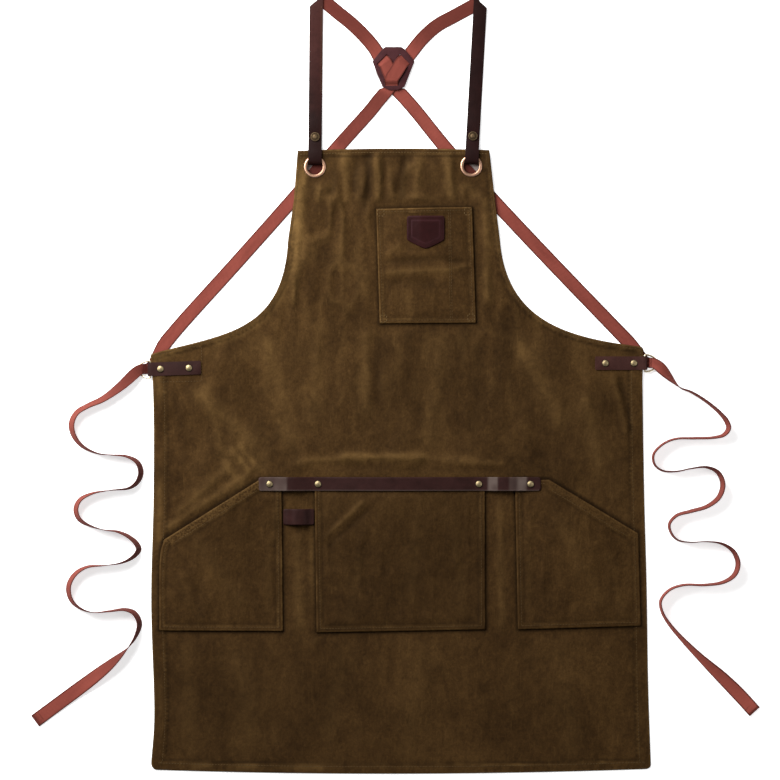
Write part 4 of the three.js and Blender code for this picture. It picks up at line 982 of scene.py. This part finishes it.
def rounded(loop, radius):
    """A closed loop with its corners rounded, as one run that ends where it starts."""
    curves = []
    for back, here, ahead in zip(np.roll(loop, 1, axis=0), loop, np.roll(loop, -1, axis=0)):
        ends = []
        for way in (back - here, ahead - here):
            reach = np.linalg.norm(way)
            ends.append(here + way / reach * min(radius, 0.45 * reach))
        curves.append(bezier(ends[0], here, ends[1]))
    return [np.vstack([*curves, curves[0][:1]])]


# Painted sheen where the strip would catch the light: from and to, in pixels of the picture, and how strongly
STRIP_SHEEN = [(257, 287, 0.36), (275, 287, 0.14), (488, 497.5, 0.75), (509, 527, 0.4), (517, 526, 0.4)]


def rolled(source, pitch, soften, xy, edge):
    """The surface of a leather node with its edge rounded over."""
    return Relief([source], pitch, soften)(xy) - 0.9 * rounding(edge, 1.3)


def dress_strip(xy, edge, near):
    """A riveted strip: rounded edges, a pale lower edge and painted sheen on stretches that catch the light.
    """
    across = xy[:, 0] / PHOTO_SCALE + PHOTO_MIDDLE[0]
    # Painted sheen on the strip, carried in the same mark as its pale lower edge.
    shine = np.zeros(len(xy))
    for start, end, strength in STRIP_SHEEN:
        begun = smoothstep(start - 1.5, start + 1.5, across)
        shine += strength * begun * smoothstep(end + 1, end - 1, across)
    low_edge = near[:, 1] < xy[:, 1].min() + 1
    line = 0.5 * bell(edge, 0.9, 0.7) * low_edge
    wear_and_highlight = np.clip(shine * (0.8 + 0.3 * ripple(xy, 9, 9, 61)) + line, 0, 1)
    return rolled("pocket_strip", 2.0, 4, xy, edge), {"wear_and_highlight": wear_and_highlight}


def dress_loop(xy, edge, near):
    return rolled("tool_loop", 1.5, 6, xy, edge), {}


def dress_label(xy, edge, near):
    """A plain label: rounded edge, a pressed border line and a bare field."""
    beside = bell(edge, 6.8, 0.8)
    z = rolled("label_patch", 2.0, 2, xy, edge) - 0.4 * bell(edge, 5.6, 0.6) + 0.12 * beside
    return z, {"wear_and_highlight": 0.17 * beside + 0.1 * bell(edge, 0.9, 0.6)}


def leather_sheet(name, source, corner, spacing, dress, finish, slot):
    Sheet(name, [source], rounded(rim(source), corner), spacing, dress, finish, slot, LEATHER_THICK)


leather_sheet("pocket_strip_leather", "pocket_strip", 4.5, 2.0, dress_strip, STRIP_LEATHER, "leather")
leather_sheet("tool_loop_leather", "tool_loop", 2.5, 1.6, dress_loop, STRIP_LEATHER, "leather")
leather_sheet("bare_label", "label_patch", 4.5, 1.3, dress_label, LABEL_LEATHER, "label_leather")


# Metal fittings

CAP_BASE = -1.8                # underside of a rivet's or snap's cap, from its crown
RIVET_RADIUS = 4.7
SNAP_RADIUS = 6.4
WIRE = 1.3                     # half the thickness of a D-ring's wire


def turned(name, source, profile, finish, segments=40):
    """A profile of radius, height below the node's top and darkening, turned about the middle of a node."""
    low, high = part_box(source)
    middle = (low + high) / 2
    angles = np.linspace(0, 2 * math.pi, segments, endpoint=False)
    points = [(middle.x + r * MM * math.cos(t), middle.y + r * MM * math.sin(t), high.z + h * MM)
              for r, h, _ in profile for t in angles]
    soil_and_shade = np.repeat([soil_and_shade for _, _, soil_and_shade in profile], segments)
    faces = skin(len(profile), segments, "flat" if profile[0][0] < 0.2 else "open")
    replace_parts(make(name, points, faces, finish, marks={"grime_and_shade": soil_and_shade}), source)


def post(source):
    """A flat back and a post, from the back of a node up to the underside of its cap."""
    low, high = box_mm(source)
    back = low[2] - high[2]
    return [(0.05, back, 0), (3.8, back, 0), (4.0, back + 0.3, 0), (3.9, back + 0.6, 0), (1.5, back + 0.6, 0),
            (1.5, CAP_BASE, 1)]


def rivet_cap(radius):
    """A domed cap with painted shade round its rim, up to the crown."""
    return [(radius - 0.25, CAP_BASE, 1), (radius, CAP_BASE + 0.3, 0.95),
            (radius - 0.15, CAP_BASE + 0.7, 0.85), (radius - 0.7, CAP_BASE + 0.95, 0.3),
            (radius * 0.8, CAP_BASE + 1.0, 0.05), (radius * 0.7, CAP_BASE + 1.2, 0),
            (radius * 0.52, -0.35, 0), (radius * 0.3, -0.12, 0.1), (0.05, -0.05, 0.2)]


def snap_cap(radius):
    """A flat cap with a raised rim, a soiled ring and a low boss."""
    return [(radius - 0.3, CAP_BASE, 1), (radius, CAP_BASE + 0.5, 0.6), (radius - 0.15, CAP_BASE + 1.1, 0.1),
            (radius - 0.7, CAP_BASE + 1.35, 0), (radius - 1.4, CAP_BASE + 1.05, 0.7),
            (radius * 0.62, -0.55, 0.6), (radius * 0.5, -0.5, 0.4), (radius * 0.42, -0.12, 0.05),
            (radius * 0.2, -0.02, 0), (0.05, 0.0, 0)]


def eyelet_line():
    """An eyelet's rolled rim with a dark band that is a painted reflection of the canvas, and its barrel, as
    one closed line.
    """
    roll = [(13.0 + 2.15 * math.cos(t), -0.95 + 0.95 * math.sin(t), 0.62 * bell(t, 1.95, 0.6))
            for t in np.linspace(-0.6, math.pi + 0.6, 17)]
    barrel = [(10.85, -2.2, 0.3), (10.85, -3.5, 0.6), (11.4, -4.0, 0), (14.2, -4.0, 0), (14.2, -3.4, 0),
              (11.8, -3.3, 0), (11.8, -1.6, 0)]
    return roll + barrel + roll[:1]


RIVETS = [f"strip_rivet_{k}" for k in (1, 2, 3, 4)]
RIVETS += [f"{side}_tab_rivet_{k}" for side in SIDES for k in (1, 2)]
for source in RIVETS:
    turned(f"{source}_cap", source, post(source) + rivet_cap(RIVET_RADIUS), BRASS)
for side in SIDES:
    source = f"{side}_snap"
    turned(f"{source}_cap", source, post(source) + snap_cap(SNAP_RADIUS), ANTIQUE, 48)
    turned(f"{side}_eyelet_ring", f"{side}_eyelet", eyelet_line(), COPPER, 72)


def d_ring(side, out):
    """A bar and a half-round curve in one closed round wire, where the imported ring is."""
    low, high = box_mm(f"{side}_ring")
    bar = ((high if out < 0 else low)[0] + out * WIRE, (low[1] + high[1]) / 2, high[2] - 0.9 * WIRE)
    half = (high[1] - low[1]) / 2 - WIRE
    depth = high[0] - low[0] - 2 * WIRE
    centre = [(0, -out * k * half * 0.47, 0) for k in range(-2, 3)]
    for turn in range(-75, 76, 25):
        reach = math.cos(math.radians(turn))
        centre.append((out * depth * reach, out * half * math.sin(math.radians(turn)), -2.5 * reach))
    steps = 8
    closed = catmull_rom(centre[-2:] + centre + centre[:3], steps)[2 * steps:(2 + len(centre)) * steps]
    ahead = unit(np.roll(closed, -1, axis=0) - np.roll(closed, 1, axis=0))
    side_way = unit(np.cross((0, 0, 1), ahead))
    up = np.cross(ahead, side_way)
    around = 14
    angle = 2 * math.pi * np.arange(around)[:, None] / around
    points = closed[:, None] + WIRE * (np.cos(angle) * side_way[:, None] + np.sin(angle) * up[:, None])
    points = (points.reshape(-1, 3) + bar) * MM
    faces = skin(len(closed), around, "joined")
    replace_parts(make(f"{side}_ring_wire", points, faces, PALE_BRASS), f"{side}_ring")


d_ring("left", -1)
d_ring("right", 1)


# Webbing

WEB_Z = 0.9                    # middle of webbing that lies on the surface
STACK = 1.6                    # from one layer of webbing to the next
UPPER_Z = WEB_Z + STACK        # middle of webbing that lies on other webbing
PATCH_TOP = (467.5, 4.4)       # y and z of webbing at the cross patch's upper end
PATCH_TIP = math.radians(1.55)


def on_patch(y, layer=0):
    """Height of the webbing's middle where it lies on the tipped cross patch."""
    return PATCH_TOP[1] + (PATCH_TOP[0] - y) * math.tan(PATCH_TIP) + STACK * layer


# Routes of the webbing's middle line: x, y and, where not as usual, z, width and 1 to keep sections along X
FIRST_RUN = [
    (-106.6, 535.3), (-84.5, 516.2), (-61.5, 497.5), (-41.5, 477.2), (-30.6, 463.2), (-25.2, 453.4),
    (-21.9, 449.7, 1.4), (-19.6, 447.4, 3.1), (-17.4, 445, on_patch(445)), (-15.6, 442.2, on_patch(442)),
    (-12, 433, on_patch(433)), (-9, 426, on_patch(426)), (-8.3, 423, on_patch(423)),
    (-8.2, 421, on_patch(421)), (-8.2, 419.6, 4.9), (-8.2, 417.6, 2.9), (-8.2, 416, 1.5),
    (-8, 413.6, WEB_Z, 19, 1), (-6.5, 411, WEB_Z, 19, 1), (-3, 408.4, WEB_Z, 19, 0.8),
    (1.6, 404.6, WEB_Z, 19, 0.4), (6.4, 400), (24.5, 379.5), (67, 327), (138, 249), (220, 162), (300, 79),
    (322, 56), (331, 46, WEB_Z, 17), (336.5, 39.5, WEB_Z, 15), (341, 33.8, WEB_Z, 14.5),
    (344.8, 30.6, WEB_Z, 14.5), (347, 29.8, 1.0, 14.5), (349.2, 29.4, 2.4, 14.5), (351.5, 29.2, 4.2, 14.5),
]
SECOND_RUN = [
    (114.3, 529.8), (102.4, 522.9), (78.3, 509.7), (54.5, 496.5), (34, 478), (21.5, 462.5), (14.1, 453.1),
    (10.7, 449.7, 1.4), (8.4, 447.4, 3.2), (6.2, 445, on_patch(445) + 0.2), (4.4, 442.6, on_patch(442, 0.7)),
    (2.6, 439.6, on_patch(440, 1)), (-2.6, 431, on_patch(431, 1)), (-6.8, 425, on_patch(425, 1)),
    (-8, 422.4, on_patch(422, 1)), (-8.2, 420.3, on_patch(420, 1)), (-8.2, 418.2, 6.2), (-8.2, 416.3, 4.4),
    (-8.2, 414.8, 3.1), (-8.4, 412.8, UPPER_Z, 19, 1), (-9.8, 411, UPPER_Z, 19, 1),
    (-12.6, 408.4, UPPER_Z, 19, 0.8), (-16.3, 404.6, UPPER_Z, 19, 0.4), (-20.4, 400, WEB_Z + 0.75 * STACK),
    (-28.5, 390.3, 1.2), (-37, 379.5), (-84, 327), (-145, 256), (-225, 166), (-303, 79.5), (-323, 55),
    (-331, 42, WEB_Z, 17), (-336, 33, WEB_Z, 15), (-340.5, 26, WEB_Z, 14.5), (-344.8, 22, WEB_Z, 14.5),
    (-347, 21.2, 1.0, 14.5), (-349.2, 20.9, 2.4, 14.5), (-351.5, 20.7, 4.2, 14.5),
]

# Routes of the free ties: x, y, turn of the tape in degrees and, where not as usual, lift and width
LEFT_TIE = [
    (-351.9, 20.66, 0, 3.4, 14.5), (-354.6, 20.42, 0, 4.6, 14.5), (-359.5, 18, 8, 4.8, 15),
    (-366, 12.5, 24, 3.8, 17), (-383, -3, 46, 1.2), (-408, -21, 62), (-428, -30, 68), (-444, -40, 66),
    (-451, -55, 62), (-448, -71, 66), (-436, -86, 74), (-415, -96, 84), (-397, -98, 90), (-375, -100, 96),
    (-360, -108, 104), (-355, -122, 107), (-360, -136, 105), (-371, -144, 99), (-397, -147, 92),
    (-421, -151, 83), (-439, -160, 72), (-445, -173, 66), (-441, -186, 68), (-428, -195, 78),
    (-405, -202, 88), (-388, -204, 94), (-372, -211, 100), (-361, -221, 105), (-358, -229, 107),
    (-364, -238, 104), (-380, -247, 97), (-405, -251, 91), (-429, -253, 82), (-445, -262, 72),
    (-454, -276, 67), (-455, -288, 66), (-450, -301, 70), (-438, -311, 78), (-421, -316, 86),
    (-397, -314, 93), (-377, -312, 98), (-364, -317, 104), (-357, -331, 106), (-361, -347, 101),
    (-372, -364, 90), (-387, -379, 64), (-401, -391, 44), (-424, -409, 22), (-448, -427, 6),
    (-502, -467, 0),
]
RIGHT_TIE = [
    (351.9, 29.16, 0, 3.4, 14.5), (354.6, 28.92, 0, 4.6, 14.5), (359.5, 26.4, -8, 4.8, 15),
    (366, 20.5, -28, 3.8, 17), (377, 8.5, -60, 1.2), (392, -5.5, -90), (405, -10.5, -95),
    (419, -18.5, -97), (433, -28.5, -98), (446, -40, -100), (455, -51, -104), (458, -61, -104),
    (452, -70, -101), (438, -74, -98), (410, -75, -97), (384, -76, -95), (366, -84, -94), (354, -98, -94),
    (356, -112, -94), (367, -120, -95), (386, -121, -95), (406, -117, -95), (427, -115, -98),
    (443, -122, -103), (450, -138, -105), (445, -156, -104), (429, -169, -101), (406, -176, -100),
    (386, -182, -97), (376, -194, -95), (379, -207, -95), (388, -216, -95), (406, -219, -94),
    (427, -218, -94), (449, -221, -98), (465, -232, -103), (471, -249, -104), (466, -264, -102),
    (451, -274, -98), (425, -278, -95), (396, -278, -94), (376, -285, -94), (364, -300, -95),
    (366, -315, -97), (376, -332, -101), (395, -354, -108), (420, -379, -122), (449, -406, -150),
    (474, -431, -172), (495, -454, -180),
]
TAPE_UNDERSIDE = np.array([(-1.0, -0.5), (-0.97, -0.95), (-0.88, -1.0), (-0.76, -1.0), (0.0, -0.9),
                           (0.76, -1.0), (0.88, -1.0), (0.97, -0.95), (1.0, -0.5)])
TAPE_SECTION = np.vstack([TAPE_UNDERSIDE, -TAPE_UNDERSIDE])


def webbing_darkening(x, y):
    """How dark the webbing is along its route: darker at the shoulders and on and beside the cross patch,
    with painted shade by the left ring and behind the bib, where the eyelets show it.
    """
    shoulders = 0.66 * smoothstep(455, 490, y)
    # Painted shade where the left tie passes its ring.
    ring = 0.72 * smoothstep(-450, -360, x) * (x < -345)
    crossing = 0.22 * smoothstep(414, 420, y) * smoothstep(456, 448, y)
    beside = 0.45 * smoothstep(325, 335, y) * smoothstep(408, 400, y) * (x < -8)
    # Painted shade on the stretch behind the bib, seen through the eyelets.
    behind = 0.95 * smoothstep(272, 280, y) * smoothstep(318, 312, y) * (np.abs(x) < 140)
    return shoulders + ring + crossing + beside + behind


def tape(name, rows, steps, hem_length=0.0, pale=0.0):
    """Webbing along rows of x, y, z, turn, width and level, its last stretch doubled, and its middle line."""
    smooth = catmull_rom(rows, steps)
    middle, turn, width, keep = smooth[:, :3], np.radians(smooth[:, 3:4]), smooth[:, 4], smooth[:, 5:]
    ahead = unit(np.gradient(middle, axis=0))
    level = unit(np.cross((0, 0, 1), ahead))
    level = unit(level * (1 - keep) + np.array([1.0, 0, 0]) * keep)
    side = np.cos(turn) * level + np.sin(turn) * unit(np.cross(ahead, level))
    up = unit(np.cross(ahead, side))
    length = lengths(middle)
    fold = length[-1] - hem_length
    doubled = 1 + 0.7 * smoothstep(fold - 1, fold, length) * (hem_length > 0)
    section = TAPE_SECTION
    count = len(section)
    points = (middle[:, None] + section[None, :, :1] * (width / 2)[:, None, None] * side[:, None]
              + section[None, :, 1:] * (WEBBING_THICK / 2 * doubled)[:, None, None] * up[:, None])
    uv = np.stack(np.broadcast_arrays(length[:, None], section[None, :, 0] * (width / 2)[:, None]), axis=-1)
    selvedge = np.interp(np.abs(section[:, 0]), (0.76, 0.88), (0, 0.75))
    shade = np.maximum(selvedge[None], webbing_darkening(middle[:, 0], middle[:, 1])[:, None])
    # Painted light on the free end of each tie, standing in for fill light.
    painted_end_light = np.repeat(pale * smoothstep(0.7, 0.9, length / length[-1]), count)
    piece = make(name, points.reshape(-1, 3) * MM, skin(len(middle), count), WEBBING,
                 uv=uv.reshape(-1, 2) * MM, marks={"grime_and_shade": shade.ravel(), "wear_and_highlight": painted_end_light})
    return piece, middle * MM, length[-1] * MM


def run_row(x, y, z=WEB_Z, width=WEBBING_WIDTH, level=0):
    return x, y, z, 0, width, level


TIE_CLEAR = 0.6                # least height of a tie above the surface
TIE_HEM = 13.0                 # length of a tie's doubled end
TIE_SEAMS = (2.6, 10.6)        # its rows of stitches, from the end


def tie_row(x, y, turn, lift=0, width=WEBBING_WIDTH):
    angle = math.radians(turn)
    reach = (abs(math.sin(angle)) * width + abs(math.cos(angle)) * WEBBING_THICK) / 2
    return x, y, TIE_CLEAR + reach + lift, turn, width, 0


for name, route, stands_for in (("first_run", FIRST_RUN, ("left_yoke_strap", "right_back_strap")),
                                ("second_run", SECOND_RUN, ("right_yoke_strap", "left_back_strap"))):
    piece, _, _ = tape(f"{name}_webbing", [run_row(*row) for row in route], 8)
    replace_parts(piece, *stands_for)

# How much painted light each tie's free end gets.
for source, route, pale in (("left_tie", LEFT_TIE, 0.15), ("right_tie", RIGHT_TIE, 0.65)):
    piece, line, length = tape(f"{source}_webbing", [tie_row(*row) for row in route], 6, TIE_HEM, pale)
    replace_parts(piece, source)
    end, ahead = line[-1][:2] / MM, (line[-1] - line[-2])[:2]
    ahead /= np.linalg.norm(ahead)
    side = np.array([-ahead[1], ahead[0]]) * 7.4
    seams = [(end - ahead * back - side, end - ahead * back + side) for back in TIE_SEAMS]
    top = line[-1][2] / MM + 0.85 * WEBBING_THICK
    sew(f"{source}_end_stitches", seams, lambda xy: np.full(len(xy), top), RED_THREAD, 0.7,
        2.4, 1.7)


# Floor, light and camera

# Middles and radii of the painted shadow on the floor under the cross patch
PAINTED_PATCH_SHADOW = [(-8.2, 437.0, 21.0), (-18.0, 415.4, 3.6), (1.6, 415.2, 3.8), (15.8, 441.8, 4.6)]


def stage_floor():
    """A pale floor that glows a little, lifting the shadows cast on it, with painted shadow, dark and without
    glow, in the holes of the eyelets and under the cross patch.
    """
    mesh = bpy.data.meshes.new("floor")
    half = 6.0
    mesh.from_pydata([(-half, -half, 0), (half, -half, 0), (half, half, 0), (-half, half, 0)], [],
                     [(0, 1, 2, 3)])
    made, tree, shader = material("pale_floor")
    coords = placed(tree)
    paper = coated((0.9, 0.9, 0.9, 1), (noise(coords, 3.0), (0.93, 0.93, 0.93, 1)))
    # Painted shadow: the floor goes dark and stops glowing round the eyelet holes and under the cross patch.
    unshadowed = 1.0
    for x, y, radius in (*eyelet_holes(), *PAINTED_PATCH_SHADOW):
        away = node(tree, "ShaderNodeVectorMath", Vector=coords)
        away.operation = "DISTANCE"
        away.inputs[1].default_value = (x * MM, y * MM, 0)
        unshadowed = maths("MULTIPLY", remap(away.outputs["Value"], radius * MM, 1.18 * radius * MM), unshadowed)
    wire(shader, Base_Color=coated((0.2, 0.165, 0.155, 1), (unshadowed, paper)), Roughness=0.9,
         Specular_IOR_Level=0.1, Emission_Color=(1, 1, 1, 1), Emission_Strength=maths("MULTIPLY", unshadowed, 0.6))
    mesh.materials.append(made)
    floor = bpy.data.objects.new("floor", mesh)
    bpy.context.collection.objects.link(floor)


def softbox(name, place, aim, size, power):
    data = bpy.data.lights.new(name, "AREA")
    data.shape = "RECTANGLE"
    data.size, data.size_y = size
    data.energy = power
    lamp = bpy.data.objects.new(name, data)
    lamp.location = place
    lamp.rotation_euler = (Vector(aim) - Vector(place)).to_track_quat("-Z", "Y").to_euler()
    bpy.context.collection.objects.link(lamp)


stage_floor()
softbox("key", (-1.05, 1.05, 1.15), (-0.1, 0.05, 0), (1.5, 1.5), 99)
softbox("fill", (1.7, -0.1, 1.6), (0.1, -0.1, 0), (1.2, 1.8), 15)
world = bpy.data.worlds.new("studio")
world.use_nodes = True
wire(world.node_tree.nodes["Background"], Color=(1, 1, 1, 1), Strength=0.07)
bpy.context.scene.world = world

PICTURE = 780                  # pixels across the picture
LENS = 160.0
SENSOR = 36.0
WORKING_HEIGHT = 4.0           # height of the canvas face, where the picture's scale holds
lens_data = bpy.data.cameras.new("camera")
lens_data.lens = LENS
lens_data.sensor_width = SENSOR
camera = bpy.data.objects.new("camera", lens_data)
aim_x, aim_y = at(PICTURE / 2, PICTURE / 2)
camera.location = (aim_x * MM, aim_y * MM,
                   (PICTURE * PHOTO_SCALE * LENS / SENSOR + WORKING_HEIGHT) * MM)
bpy.context.collection.objects.link(camera)
bpy.context.scene.camera = camera
bpy.context.scene.view_settings.view_transform = "Standard"
bpy.context.scene.view_settings.look = "None"
